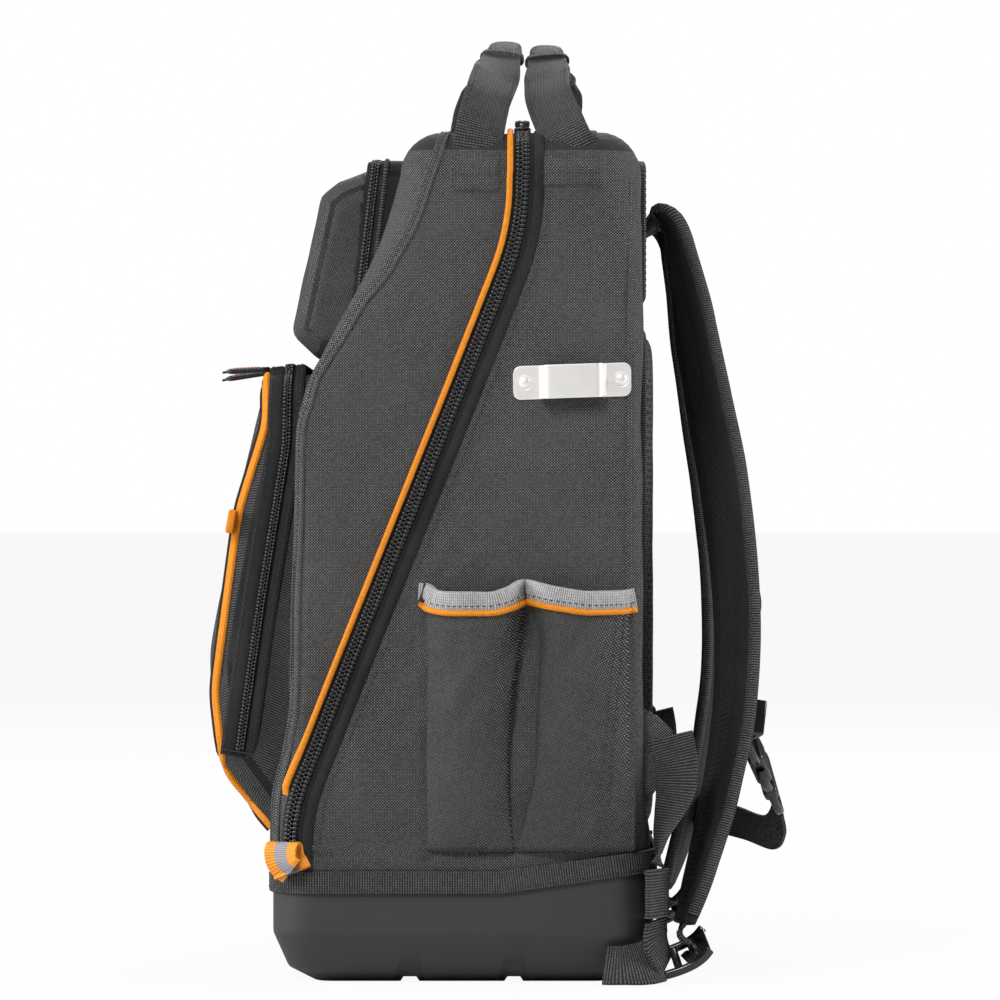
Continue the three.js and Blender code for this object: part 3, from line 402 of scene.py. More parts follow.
def new_group(name, inputs, outputs):
    tree = bpy.data.node_groups.new(name, "ShaderNodeTree")
    for label, kind, value in inputs:
        socket = tree.interface.new_socket(label, in_out="INPUT", socket_type=kind)
        if value is not None:
            socket.default_value = value
    for label, kind in outputs:
        tree.interface.new_socket(label, in_out="OUTPUT", socket_type=kind)
    return tree, tree.nodes.new("NodeGroupInput").outputs, tree.nodes.new("NodeGroupOutput").inputs


FLOAT, VECTOR = "NodeSocketFloat", "NodeSocketVector"

# %% [markdown]
# The weave is a checkerboard of yarns. In each square either the warp or the weft lies on top,
# and its height falls off across the yarn faster than along it. The squares are turned by 45
# degrees in the material, because heavy nylon of this kind shows small diamonds.

# %% weave group
def make_weave():
    tree, given, out = new_group(
        "Weave", [("Vector", VECTOR, None), ("Yarn", FLOAT, 0.0009), ("Slack", FLOAT, 0.5)],
        [("Height", FLOAT), ("Warp", FLOAT), ("Yarn Shade", FLOAT)])
    scaled = put(tree, "ShaderNodeVectorMath", {"operation": "SCALE"}, i0=given["Vector"],
                 Scale=maths(tree, "DIVIDE", 1.0, given["Yarn"])).outputs[0]
    split = put(tree, "ShaderNodeSeparateXYZ", Vector=scaled).outputs
    cells, nears = [], []
    for socket in (split["X"], split["Y"]):
        cells.append(maths(tree, "FLOOR", socket))
        offset = maths(tree, "MULTIPLY_ADD", maths(tree, "FRACT", socket), 2.0, -1.0)
        nears.append(maths(tree, "MULTIPLY", offset, offset))
    odd = maths(tree, "FLOORED_MODULO", maths(tree, "ADD", cells[0], cells[1]), 2.0)
    heights = []
    for near, far in (nears, nears[::-1]):
        along = maths(tree, "MULTIPLY_ADD", maths(tree, "MULTIPLY", far, given["Slack"]), -1.0, 1.0)
        heights.append(maths(tree, "MULTIPLY", maths(tree, "SUBTRACT", 1.0, near), along))
    height = put(tree, "ShaderNodeMix", {"data_type": "FLOAT"}, Factor=odd, A=heights[0], B=heights[1])
    cell = put(tree, "ShaderNodeCombineXYZ", X=cells[0], Y=cells[1])
    shade = put(tree, "ShaderNodeTexWhiteNoise", {"noise_dimensions": "2D"}, Vector=cell.outputs[0])
    tree.links.new(height.outputs[0], out["Height"])
    tree.links.new(odd, out["Warp"])
    tree.links.new(shade.outputs["Value"], out["Yarn Shade"])
    return tree


# %% ribs group
def make_ribs():
    """Ribs across a webbing: rounded ridges along V, each broken up into leaning yarns."""
    tree, given, out = new_group(
        "Ribs", [("Vector", VECTOR, None), ("Pitch", FLOAT, 0.002), ("Lean", FLOAT, 0.4),
                 ("Yarn", FLOAT, 0.0011)],
        [("Height", FLOAT), ("Groove", FLOAT), ("Yarn Shade", FLOAT)])
    split = put(tree, "ShaderNodeSeparateXYZ", Vector=given["Vector"]).outputs
    fold = maths(tree, "PINGPONG", split["X"], maths(tree, "MULTIPLY", given["Yarn"], 2.0))
    leaning = maths(tree, "MULTIPLY_ADD", fold, given["Lean"], split["Y"])
    turns = maths(tree, "DIVIDE", leaning, given["Pitch"])
    ridge = maths(tree, "ABSOLUTE", maths(tree, "SINE", maths(tree, "MULTIPLY", turns, math.pi)))
    yarns = maths(tree, "DIVIDE", split["X"], given["Yarn"])
    beads_across = maths(tree, "ABSOLUTE", maths(tree, "SINE", maths(tree, "MULTIPLY", yarns, math.pi)))
    height = maths(tree, "MULTIPLY", ridge, maths(tree, "MULTIPLY_ADD", beads_across, 0.35, 0.65))
    cell = put(tree, "ShaderNodeCombineXYZ", X=maths(tree, "FLOOR", yarns), Y=maths(tree, "FLOOR", turns))
    shade = put(tree, "ShaderNodeTexWhiteNoise", {"noise_dimensions": "2D"}, Vector=cell.outputs[0])
    tree.links.new(height, out["Height"])
    tree.links.new(maths(tree, "SUBTRACT", 1.0, ridge), out["Groove"])
    tree.links.new(shade.outputs["Value"], out["Yarn Shade"])
    return tree


# %% [markdown]
# Dust and wear come from noise in the object's own coordinates: broad clouds of fading, and fine
# specks of lint that lie on top of dark cloth.

# %% wear group
def make_wear():
    tree, given, out = new_group(
        "Wear", [("Vector", VECTOR, None), ("Clouds", FLOAT, 18.0), ("Specks", FLOAT, 900.0)],
        [("Fade", FLOAT), ("Lint", FLOAT)])
    clouds = put(tree, "ShaderNodeTexNoise", Vector=given["Vector"], Scale=given["Clouds"], Detail=5.0,
                 Roughness=0.6)
    fade = put(tree, "ShaderNodeMapRange", i0=clouds.outputs[0], i1=0.35, i2=0.7)
    specks = put(tree, "ShaderNodeTexNoise", Vector=given["Vector"], Scale=given["Specks"], Detail=2.0)
    lint = put(tree, "ShaderNodeMapRange", i0=specks.outputs[0], i1=0.66, i2=0.78)
    tree.links.new(fade.outputs[0], out["Fade"])
    tree.links.new(lint.outputs[0], out["Lint"])
    return tree


WEAVE, RIBS, WEAR = make_weave(), make_ribs(), make_wear()
print("groups", [g.name for g in bpy.data.node_groups])

# %% [markdown]
# ## The finishes
# A material starts from one Principled shader. `finish_cloth` mixes a dark and a light colour by a height or a mask,
# adds the fading and lint of the wear group, and turns the height into a bump. The mask is painted light: black nylon
# in studio light looks mid grey where its yarns catch the light, so the yarn crowns get a painted highlight in the base
# colour and the gaps between them get painted shade.

# %% material builder
def start_material(name, roughness, **constants):
    material = bpy.data.materials.new(name)
    material.use_nodes = True
    tree = material.node_tree
    shader = tree.nodes["Principled BSDF"]
    shader.inputs["Roughness"].default_value = roughness
    for key, value in constants.items():
        shader.inputs[key.replace("_", " ")].default_value = value
    return material, tree, shader


def mix_colour(tree, factor, a, b, blend="MIX"):
    node = put(tree, "ShaderNodeMix", {"data_type": "RGBA", "blend_type": blend}, i0=factor, i6=a, i7=b)
    return node.outputs[2]


def grey(value, warm=0.0):
    return (value * (1 + warm), value, value * (1 - warm), 1)


def finish_cloth(tree, shader, dark, light, painted_light_mask, height, bump, yarn_shade=None, variety=0.25,
                 roughness=(0.62, 0.78), fade=0.16, lint=0.10, clouds=18.0):
    where = put(tree, "ShaderNodeTexCoord").outputs["Object"]
    wear = put(tree, "ShaderNodeGroup", {"node_tree": WEAR}, Vector=where, Clouds=clouds).outputs
    # The mask mixes in painted highlight where it is high and painted shade where it is low.
    colour = mix_colour(tree, painted_light_mask, dark, light)
    if yarn_shade is not None:
        value = maths(tree, "MULTIPLY_ADD", yarn_shade, 2 * variety, 1 - variety)
        scale = put(tree, "ShaderNodeCombineColor", i0=value, i1=value, i2=value).outputs[0]
        colour = mix_colour(tree, 1.0, colour, scale, "MULTIPLY")
    faded = mix_colour(tree, maths(tree, "MULTIPLY", wear["Fade"], fade), colour, grey(0.12))
    linty = mix_colour(tree, maths(tree, "MULTIPLY", wear["Lint"], lint), faded, grey(0.35))
    rough = put(tree, "ShaderNodeMapRange", i0=painted_light_mask, i3=roughness[1], i4=roughness[0])
    tree.links.new(linty, shader.inputs["Base Color"])
    tree.links.new(rough.outputs[0], shader.inputs["Roughness"])
    raised = put(tree, "ShaderNodeBump", Strength=1.0, Distance=bump, Height=height)
    tree.links.new(raised.outputs[0], shader.inputs["Normal"])


def cloth_uv(tree, turn=0.0, scale=(1, 1, 1)):
    uv = put(tree, "ShaderNodeUVMap", {"uv_map": "Cloth"}).outputs[0]
    return put(tree, "ShaderNodeMapping", Vector=uv, Rotation=(0, 0, math.radians(turn)), Scale=scale).outputs[0]


# %% woven nylons
def woven(name, yarn, turn, dark, light, bump=0.00022, stretch=(1, 1, 1), slack=0.8, warp_painted_sheen=0.25, power=2.4,
          gloss=0.22, **more):
    material, tree, shader = start_material(name, 0.7, Specular_IOR_Level=gloss)
    weave = put(tree, "ShaderNodeGroup", {"node_tree": WEAVE}, Vector=cloth_uv(tree, turn, stretch),
                Yarn=yarn, Slack=slack).outputs
    # Yarn height, raised to a power, paints a highlight on each yarn crown and shade in the gaps, and the warp yarns
    # get extra painted sheen.
    lit = maths(tree, "MULTIPLY", maths(tree, "POWER", weave["Height"], power),
                maths(tree, "MULTIPLY_ADD", weave["Warp"], warp_painted_sheen, 1 - warp_painted_sheen))
    finish_cloth(tree, shader, dark, light, lit, weave["Height"], bump, weave["Yarn Shade"], **more)
    return material


def ribbed(name, pitch, dark, light, bump=0.0003, lean=0.4, yarn=0.0011, turn=0.0, power=1.5, gloss=0.22, **more):
    material, tree, shader = start_material(name, 0.7, Specular_IOR_Level=gloss)
    ribs = put(tree, "ShaderNodeGroup", {"node_tree": RIBS}, Vector=cloth_uv(tree, turn),
               Pitch=pitch, Lean=lean, Yarn=yarn).outputs
    # Rib height, raised to a power, paints a highlight on each rib crown and shade in the grooves.
    lit = maths(tree, "POWER", ribs["Height"], power)
    finish_cloth(tree, shader, dark, light, lit, ribs["Height"], bump, ribs["Yarn Shade"], **more)
    return material


NYLON = woven("charcoal_nylon", 0.00105, 45, grey(0.001), grey(0.31), power=2.9)
POCKET_NYLON = woven("pocket_nylon", 0.00098, 60, grey(0.001), grey(0.26), stretch=(1, 0.85, 1), power=2.9)
DARK_NYLON = woven("dark_gusset_nylon", 0.0007, 45, grey(0.0015), grey(0.045), power=1.6)
MOULDED = woven("moulded_cloth", 0.00092, 24, grey(0.0015), grey(0.15), stretch=(1, 0.9, 1), power=2.0, gloss=0.35,
                roughness=(0.42, 0.6))
WEBBING = ribbed("black_webbing", 0.00145, grey(0.0010), grey(0.125), lean=0.10, yarn=0.0010, power=2.6)
BINDING = ribbed("black_binding", 0.00130, grey(0.0012), grey(0.13), lean=0.0, yarn=0.0013, power=2.4)
GUSSET = ribbed("ribbed_gusset", 0.00130, grey(0.0010), grey(0.10), lean=0.0, yarn=0.0010, turn=24, power=2.4)
ORANGE = ribbed("orange_woven_band", 0.0011, (0.52, 0.13, 0.004, 1), (1.0, 0.36, 0.022, 1), power=1.0,
                lean=0.8, bump=0.00018, variety=0.10, fade=0.0, lint=0.03, roughness=(0.5, 0.68))
GREY_TAPE = ribbed("grey_reflective_tape", 0.0011, grey(0.16), grey(0.56), lean=0.0, yarn=0.0014,
                   bump=0.00012, variety=0.12, fade=0.0, lint=0.0, roughness=(0.38, 0.55))
print("woven finishes", len(bpy.data.materials))

# %% [markdown]
# Plastics and metal have no UV map: their grain is noise in object coordinates. Moulded panels get
# a fine leather-like grain, coil zips and buckles are smoother and catch sharper highlights.

# %% plastics and steel
def moulded(name, colour, worn, roughness, grain=2600.0, bump=0.00003, coat=0.0, clouds=9.0, spread=0.1):
    material, tree, shader = start_material(name, roughness, Coat_Weight=coat, Coat_Roughness=0.2)
    where = put(tree, "ShaderNodeTexCoord").outputs["Object"]
    wear = put(tree, "ShaderNodeGroup", {"node_tree": WEAR}, Vector=where, Clouds=clouds).outputs
    grains = put(tree, "ShaderNodeTexNoise", Vector=where, Scale=grain, Detail=3.0, Roughness=0.55)
    colours = mix_colour(tree, maths(tree, "MULTIPLY", wear["Fade"], 0.5), colour, worn)
    tree.links.new(mix_colour(tree, maths(tree, "MULTIPLY", wear["Lint"], 0.08), colours, grey(0.3)),
                   shader.inputs["Base Color"])
    rough = put(tree, "ShaderNodeMapRange", i0=wear["Fade"], i3=roughness - spread, i4=roughness + spread)
    tree.links.new(rough.outputs[0], shader.inputs["Roughness"])
    raised = put(tree, "ShaderNodeBump", Strength=1.0, Distance=bump, Height=grains.outputs[0])
    tree.links.new(raised.outputs[0], shader.inputs["Normal"])
    return material


BASE_PLASTIC = moulded("base_plastic", grey(0.030), grey(0.040), 0.52)
COIL = moulded("zip_coil", grey(0.006), grey(0.010), 0.30, bump=0.00001, coat=0.3)
BUCKLE = moulded("buckle_plastic", grey(0.007), grey(0.011), 0.26, bump=0.00001, coat=0.25)
THREAD = moulded("black_thread", grey(0.022), grey(0.05), 0.6, grain=5000.0)
PULL_METAL = moulded("dark_metal", grey(0.05), grey(0.09), 0.32)
PULL_METAL.node_tree.nodes["Principled BSDF"].inputs["Metallic"].default_value = 0.85


def brushed(name, colour, roughness):
    """Brushed steel: noise drawn out along Y, so the fine lines run the length of the clip."""
    material, tree, shader = start_material(name, roughness, Metallic=0.55)
    where = put(tree, "ShaderNodeTexCoord").outputs["Object"]
    drawn = put(tree, "ShaderNodeMapping", Vector=where, Scale=(300, 35, 3200)).outputs[0]
    lines = put(tree, "ShaderNodeTexNoise", Vector=drawn, Scale=1.0, Detail=4.0).outputs[0]
    wear = put(tree, "ShaderNodeGroup", {"node_tree": WEAR}, Vector=where, Clouds=60.0).outputs
    tone = mix_colour(tree, wear["Fade"], colour, tuple(0.86 * c for c in colour[:3]) + (1,))
    tree.links.new(mix_colour(tree, lines, tone, grey(0.95, 0.02)), shader.inputs["Base Color"])
    rough = put(tree, "ShaderNodeMapRange", i0=lines, i3=roughness - 0.1, i4=roughness + 0.14)
    tree.links.new(rough.outputs[0], shader.inputs["Roughness"])
    raised = put(tree, "ShaderNodeBump", Strength=0.7, Distance=0.00002, Height=lines)
    tree.links.new(raised.outputs[0], shader.inputs["Normal"])
    return material


STEEL = brushed("brushed_steel", (0.97, 0.94, 0.90, 1), 0.38)
print("finishes", len(bpy.data.materials))

# %% [markdown]
# ## The skin of the bag
# Everything sewn to the bag lies on one skin. `bag_skin(y, girth)` follows it from the base up the
# right side (girth is the height), over the crown, across the top and down the left side. Its
# relief makes it cloth: panels swell a little between their seams, dip into each seam, and are
# never quite smooth, because nylon over a soft lining keeps shallow dents.

# %% bag skin
body_rows = smooth_table([
    (40.0, 0.997, 0.997, 1.00, 1.00), (66.2, 0.995, 0.985, 1.00, 0.95), (95.0, 0.970, 0.950, 0.60, 0.65),
    (130.1, 0.905, 0.937, 0.32, 0.42), (179.8, 0.879, 0.931, 0.25, 0.36), (285.0, 0.864, 0.931, 0.25, 0.36),
    (305.0, 0.828, 0.931, 0.30, 0.36), (325.0, 0.742, 0.931, 0.40, 0.40), (340.1, 0.662, 0.931, 0.50, 0.45),
    (381.8, 0.455, 0.931, 0.80, 0.65), (404.9, 0.372, 0.931, 1.00, 0.90), (421.8, 0.325, 0.931, 1.15, 1.05)])
TOP_GIRTH = CROWN_FOOT + CROWN_ARC
MIDDLE_GIRTH = TOP_GIRTH + side_at(CROWN_FOOT) - CROWN

zip_flat = rounded([(-90, 30, 0), (-89, 92, 90), (30.5, 392, 130), (31, 500, 0)], 12)
front_seam_flat = [Vector(p) for p in (
    (-99.0, 56), (-97.6, 95.7), (-91.5, 121.7), (-87.8, 147.7), (-87.0, 199.7), (-85.6, 237), (-84.4, 288.6),
    (-80.0, 304), (-77.5, 313.6), (-71.3, 324.5), (-61.9, 339), (-50.4, 358), (-42.6, 366.6),
    (-33.3, 382), (-26.5, 394), (-22.4, 404.6), (-16.0, 424), (-12.5, 434), (-9.0, 452))]


def course_of(points):
    return smooth_table([(p.y, p.x) for p in points])


zip_course, seam_course = course_of(zip_flat), course_of(front_seam_flat)
REAR_SEAM, FOOT_SEAM = 86.5, 74.0


def rim(y):
    """Height of the base's rim, which rises towards the back."""
    return lerp(53.0, 65.0, clamp((y - 19.9) / 84.6))


def tucked(stands, y, z):
    """Below the rim the cloth goes down inside the base."""
    return stands * ease((z - rim(y) - 4) / 12) - 1.6 * ease((rim(y) + 6 - z) / 5)


def relief(y, z):
    """How far the cloth stands out at (y, z) of a side panel."""
    lean = 0.93 if 95 < z < 390 else 1.0
    from_zip = (y - zip_course(z)[0]) * lean
    if from_zip < 0:
        edge = min(-from_zip - 8.5, (y - seam_course(z)[0]) * 0.9)
    else:
        edge = min(from_zip - 11.5, REAR_SEAM - y, abs(z - FOOT_SEAM), abs(434 - z))
        edge = edge if y < REAR_SEAM else 0.6 * (y - REAR_SEAM)
    if edge < 0:
        return tucked(0.0, y, z)
    swell = 1.25 * (1 - math.exp(-edge / 7))
    dents = 1.6 * noise.noise(Vector((y / 34, z / 52, 1.7))) + 0.5 * noise.noise(Vector((y / 13, z / 17, 5.2)))
    # Long slanting creases below the middle of the zip, where the panel hangs slack
    creased = bell(y, -8, 55) * bell(z, 185, 95)
    dents += (0.4 + 3.2 * creased) * noise.noise(Vector(((0.8 * y - 0.6 * z) / 13, (0.6 * y + 0.8 * z) / 85, 3.1)))
    pucker = 0.28 * math.sin(z / 2.3 + y / 5.0) * math.exp(-edge / 6)
    return tucked(swell + (dents + pucker) * clamp(edge / 9), y, z)


def plan(z):
    """Front, rear, half width and the two corner rounds at a height below the crown."""
    front, rear, front_round, rear_round = body_rows(z)
    return -front * HALF_DEPTH, rear * HALF_DEPTH, side_at(z), front_round * CORNER, rear_round * CORNER


def bag_skin(y, girth, relieved=True):
    mirror = girth > MIDDLE_GIRTH
    girth = 2 * MIDDLE_GIRTH - girth if mirror else girth
    turn = clamp((girth - CROWN_FOOT) / CROWN, 0, math.pi / 2)
    front, rear, half, front_round, rear_round = plan(min(girth, CROWN_FOOT))
    inset = CROWN * (1 - math.cos(turn))
    if girth > TOP_GIRTH:
        ahead = clamp(max(front + CROWN - y, y - rear + CROWN, 0.0), 0, CROWN - 0.01)
        z = CROWN_FOOT + math.sqrt(CROWN ** 2 - ahead ** 2)
        point, out = Vector((half - CROWN - (girth - TOP_GIRTH), y, z)), Vector((0, 0, 1))
    else:
        front, rear, half = front + inset, rear - inset, half - inset
        front_round, rear_round = max(front_round - inset, 0.5), max(rear_round - inset, 0.5)
        side = 0.0
        round_here = front_round
        if y < front + front_round:
            side = -clamp((front + front_round - y) / front_round)
        elif y > rear - rear_round:
            side, round_here = clamp((y - rear + rear_round) / rear_round), rear_round
        flat = math.sqrt(max(0.0, 1 - side * side))
        z = girth if turn == 0 else CROWN_FOOT + CROWN * math.sin(turn)
        point = Vector((half - round_here * (1 - flat), y, z))
        out = Vector((flat * math.cos(turn), side * math.cos(turn), math.sin(turn)))
    if relieved:
        point += out * relief(y, min(girth, 470.0)) * (1 if girth < TOP_GIRTH else 0.5)
    return Vector((-point.x, point.y, point.z)) if mirror else point


print("girth at the crown and at the middle of the top", round(TOP_GIRTH, 1), round(MIDDLE_GIRTH, 1))

# %% [markdown]
# The body is made in two pieces that meet under the zip, as the real bag is. Each is one grid: its
# rows are heights and its columns run from the zip on one side, round the front or the back, to
# the zip on the other side. The last rows close over the top. A wall is added inwards. Above a
# seam near the crown the cloth is smoother and darker, so the faces there get a second finish.

# %% body shells
def shell(front_part):
    sign = -1 if front_part else 1
    side_columns, corner_columns, wide_columns = (30, 7, 46) if front_part else (44, 7, 46)
    counts = [side_columns, corner_columns, wide_columns, corner_columns, side_columns]
    total = sum(counts)
    heights = [48 + (CROWN_FOOT - 48) * k / 104 for k in range(105)]
    crown = [CROWN_FOOT + CROWN_ARC * k / 8 for k in range(1, 9)]
    tops = [k / 8 for k in range(1, 9)]
    rows = [("wall", h) for h in heights] + [("wall", h) for h in crown] + [("top", k) for k in tops]

    def place(s, t):
        kind, level = rows[round(t * (len(rows) - 1))]
        column = round(s * total)
        mirror = column > total / 2
        column = total - column if mirror else column
        girth = level if kind == "wall" else TOP_GIRTH
        turn = clamp((girth - CROWN_FOOT) / CROWN, 0, math.pi / 2)
        inset = CROWN * (1 - math.cos(turn))
        front, rear, half, front_round, rear_round = plan(min(girth, CROWN_FOOT))
        edge, radius = (front, front_round) if front_part else (rear, rear_round)
        edge, half, radius = edge - sign * inset, half - inset, max(radius - inset, 1.0)
        start = zip_course(min(girth, 480.0))[0] + sign * 3.8
        if kind == "top":
            reach = (abs(start - edge) - 1.5) * level
            edge, half, radius = edge - sign * reach, half - reach, max(radius - reach, 0.4)
        corner = edge - sign * radius
        corner = corner if (start - corner) * sign < -4 else start + sign * 4
        beyond = clamp((corner - (edge - sign * radius)) * sign / radius)
        first = math.asin(beyond)
        bend = radius * (math.pi / 2 - first)
        z = girth if turn == 0 else CROWN_FOOT + CROWN * math.sin(turn)
        if column <= side_columns:
            share = column / side_columns
            y = lerp(start, corner, share)
            u = y
            if kind == "wall":
                point = bag_skin(y, girth)
            else:
                point = Vector((half, y, BAG_TOP + 0.5 * relief(y, 470.0)))
        else:
            if column <= side_columns + corner_columns:
                angle = lerp(first, math.pi / 2, (column - side_columns) / corner_columns)
                x = half - radius + radius * math.cos(angle)
                y = edge - sign * radius * (1 - math.sin(angle))
                u = corner + sign * radius * (angle - first)
            else:
                share = (column - side_columns - corner_columns) / (wide_columns / 2)
                angle, y = math.pi / 2, edge
                x = (half - radius) * (1 - share)
                u = corner + sign * (bend + (half - radius) * share)
            out = Vector((math.cos(angle) * math.cos(turn), sign * math.sin(angle) * math.cos(turn), math.sin(turn)))
            swell = 1.6 * noise.noise(Vector((x / 40, z / 45, 8.0 + sign))) + 0.8
            fade = ease(abs(y - corner) / (radius + 1)) if column <= side_columns + corner_columns else 1.0
            point = Vector((x, y, z)) + out * tucked(swell * fade, y, z) * (1 if kind == "wall" else 0.4)
        v = girth if kind == "wall" else TOP_GIRTH + reach
        if mirror:
            point.x, u = -point.x, 2 * (corner + sign * (bend + half - radius)) - u
        return point, (u, v)

    bm = draped(total, len(rows) - 1, place)
    if not front_part:
        bmesh.ops.reverse_faces(bm, faces=bm.faces)
    for face in bm.faces:
        face.normal_update()
    if sum(f.normal.dot(f.calc_center_median() - Vector((0, 20, 250))) for f in bm.faces) < 0:
        bmesh.ops.reverse_faces(bm, faces=bm.faces)
    return bm


def walled(obj, depth):
    """A wall on the inner side. Even thickness stays off, because thin faces would shoot out."""
    wall = obj.modifiers.new("wall", "SOLIDIFY")
    wall.thickness, wall.offset, wall.use_even_offset = depth * MM, -1, False
    return obj


def capped(obj, height):
    """Smooth dark cloth over the top, above the seam at that height."""
    obj.data.materials.append(TOP_CLOTH)
    for polygon in obj.data.polygons:
        polygon.material_index = int(polygon.center.z > height * MM)
    return obj


TOP_SEAM = 434.5
TOP_CLOTH = woven("top_cloth", 0.0006, 45, grey(0.004), grey(0.06), power=1.2, bump=0.0001)
walled(capped(piece("front_body", shell(True), NYLON, ["front_shell"]), TOP_SEAM), 2.0)
walled(capped(piece("rear_body", shell(False), NYLON, ["rear_shell"]), TOP_SEAM), 2.0)
print("body", [(o.name, len(o.data.polygons)) for o in made_pieces[-2:]])

# %% [markdown]
# ## The moulded base
# The base is one moulded tub: straight walls with round corners above, two rows of facets below,
# and on each long side two recesses where feet are moulded out of the underside. It is a lofted
# grid whose facet edges get a true bevel. The recesses, and a notch under each, are cut by Boolean
# modifiers, because their edges stay crisp that way.

# %% base outline
def ring_outline(depth, half, radius, columns=(30, 8, 44)):
    """A rounded rectangle in plan, anticlockwise seen from above, as points and outward ways."""
    points = []
    for x_sign, y_sign, first in ((1, 1, 0), (-1, 1, 90), (-1, -1, 180), (1, -1, 270)):
        count = columns[0] if first in (0, 180) else columns[2]
        for k in range(columns[1] + 1):
            angle = math.radians(first + 90 * k / columns[1])
            out = Vector((math.cos(angle), math.sin(angle)))
            centre = Vector((x_sign * (half - radius), y_sign * (depth - radius)))
            points.append((centre + out * radius, out))
        ahead = math.radians(first + 90)
        run = 2 * (half - radius) if first in (0, 180) else 2 * (depth - radius)
        way = Vector((-math.sin(ahead), math.cos(ahead)))
        for k in range(1, count):
            points.append((points[-1][0] + way * run / count, Vector((math.cos(ahead), math.sin(ahead)))))
    return points


base_rows = [(0.0, 0.774, 0.885, 0.40), (7.8, 0.920, 0.958, 0.80), (26.0, 1.0, 1.0, 1.0), (40.0, 1.0, 1.0, 1.0)]


def base_ring(z_row, lift=0.0):
    _, depth, width, radius = z_row
    return ring_outline(depth * HALF_DEPTH + lift, width * BASE_HALF_WIDTH + lift, radius * CORNER + lift)


# %% base tub
def base_mesh():
    rings = [base_ring(row) for row in base_rows]
    count = len(rings[0])
    levels = [0, 1, 2, 3, 4, 5]

    def place(s, t):
        column, level = round(s * count) % count, round(t * (len(levels) - 1))
        ring = rings[min(level, 3)]
        (x, y), _ = ring[column]
        z = [0.0, 7.8, 26.0, 38.0, lerp(38.0, rim(y), 0.8), rim(y) - 0.5][level]
        return Vector((x, y, z)), (column, z)

    bm = draped(count, len(levels) - 1, place)
    bmesh.ops.remove_doubles(bm, verts=bm.verts, dist=0.01)
    bmesh.ops.recalc_face_normals(bm, faces=bm.faces)
    foot = [e for e in bm.edges if e.is_boundary and e.verts[0].co.z < 1]
    bmesh.ops.holes_fill(bm, edges=foot, sides=0)
    facets = [e for e in bm.edges if abs(e.verts[0].co.z - e.verts[1].co.z) < 0.01 and e.verts[0].co.z < 27
              and len(e.link_faces) == 2 and e.calc_face_angle() > 0.12]
    bmesh.ops.bevel(bm, geom=facets, offset=1.6, segments=3, profile=0.5, affect="EDGES", material=-1,
                    offset_type="OFFSET")
    return thick(bm, 3.0)


RECESS = ((151.6, 8.4, -1.0), (164.4, 6.6, 7.8), (170.6, 3.9, 16.0))
NOTCH_CENTRES = (-27.9, 26.4)


def recess_cutter(y):
    """A shallow recess in the side wall, narrow at its head and flared at its foot. Its inner face
    follows the wall's two slopes. Each row is the inner face's x, the half width and the height."""
    bm = bmesh.new()
    bmesh.ops.create_cube(bm, size=2)
    bmesh.ops.subdivide_edges(bm, edges=[e for e in bm.edges if abs(e.verts[0].co.z - e.verts[1].co.z) > 1], cuts=1)
    for vert in bm.verts:
        level = round(vert.co.z) + 1
        inner, half, z = RECESS[level]
        vert.co = (inner if vert.co.x < 0 else 190, y + math.copysign(half, vert.co.y), z)
    bmesh.ops.scale(bm, vec=(MM, MM, MM), verts=bm.verts)
    return bm


def notch_cutter(y):
    """The gap under the base between two feet."""
    bm = bmesh.new()
    bmesh.ops.create_cube(bm, size=2)
    for vert in bm.verts:
        half, z = (3.3, 2.8) if vert.co.z > 0 else (5.6, -1)
        vert.co = (110 if vert.co.x < 0 else 190, y + math.copysign(half, vert.co.y), z)
    bmesh.ops.scale(bm, vec=(MM, MM, MM), verts=bm.verts)
    return bm


def carved(obj, cutters):
    """Cuts with Boolean modifiers and keeps the evaluated mesh."""
    tools = []
    for bm in cutters:
        mesh = bpy.data.meshes.new("cutter")
        bm.to_mesh(mesh)
        bm.free()
        tool = bpy.data.objects.new("cutter", mesh)
        bpy.context.scene.collection.objects.link(tool)
        cut = obj.modifiers.new("cut", "BOOLEAN")
        cut.object, cut.operation, cut.solver = tool, "DIFFERENCE", "EXACT"
        tools.append(tool)
    bpy.context.view_layer.update()
    shape = bpy.data.meshes.new_from_object(obj.evaluated_get(bpy.context.evaluated_depsgraph_get()))
    obj.modifiers.clear()
    obj.data = shape
    for tool in tools:
        bpy.data.objects.remove(tool)
    shape.shade_smooth()
    shape.set_sharp_from_angle(angle=math.radians(28))


base_tub = piece("moulded_base", base_mesh(), BASE_PLASTIC, ["base_tub"], 28)
cutters = [cutter(y) for y in NOTCH_CENTRES for cutter in (recess_cutter, notch_cutter)]
cutters += [mirrored(bm) for bm in cutters]
carved(base_tub, cutters)
print("base faces", len(base_tub.data.polygons))

# %% [markdown]
# A webbing band is stitched over the base's rim. It rises towards the back, where the shoulder
# straps pull. The band is a line on the base's wall with a flat section, and two stitch rows.

# %% binding over the rim
wall_ring = base_ring((40, 1.0, 1.0, 1.0))
ring_lengths = [0.0]
for (p, _), (q, _) in zip(wall_ring, wall_ring[1:] + wall_ring[:1]):
    ring_lengths.append(ring_lengths[-1] + (q - p).length)
RING = ring_lengths[-1]


def wall_skin(run, z):
    run = run % RING
    i = max(0, min(len(wall_ring) - 1, next(k for k in range(len(ring_lengths)) if ring_lengths[k + 1] >= run)))
    share = (run - ring_lengths[i]) / (ring_lengths[i + 1] - ring_lengths[i])
    p = wall_ring[i][0].lerp(wall_ring[(i + 1) % len(wall_ring)][0], share)
    return Vector((p.x, p.y, z))


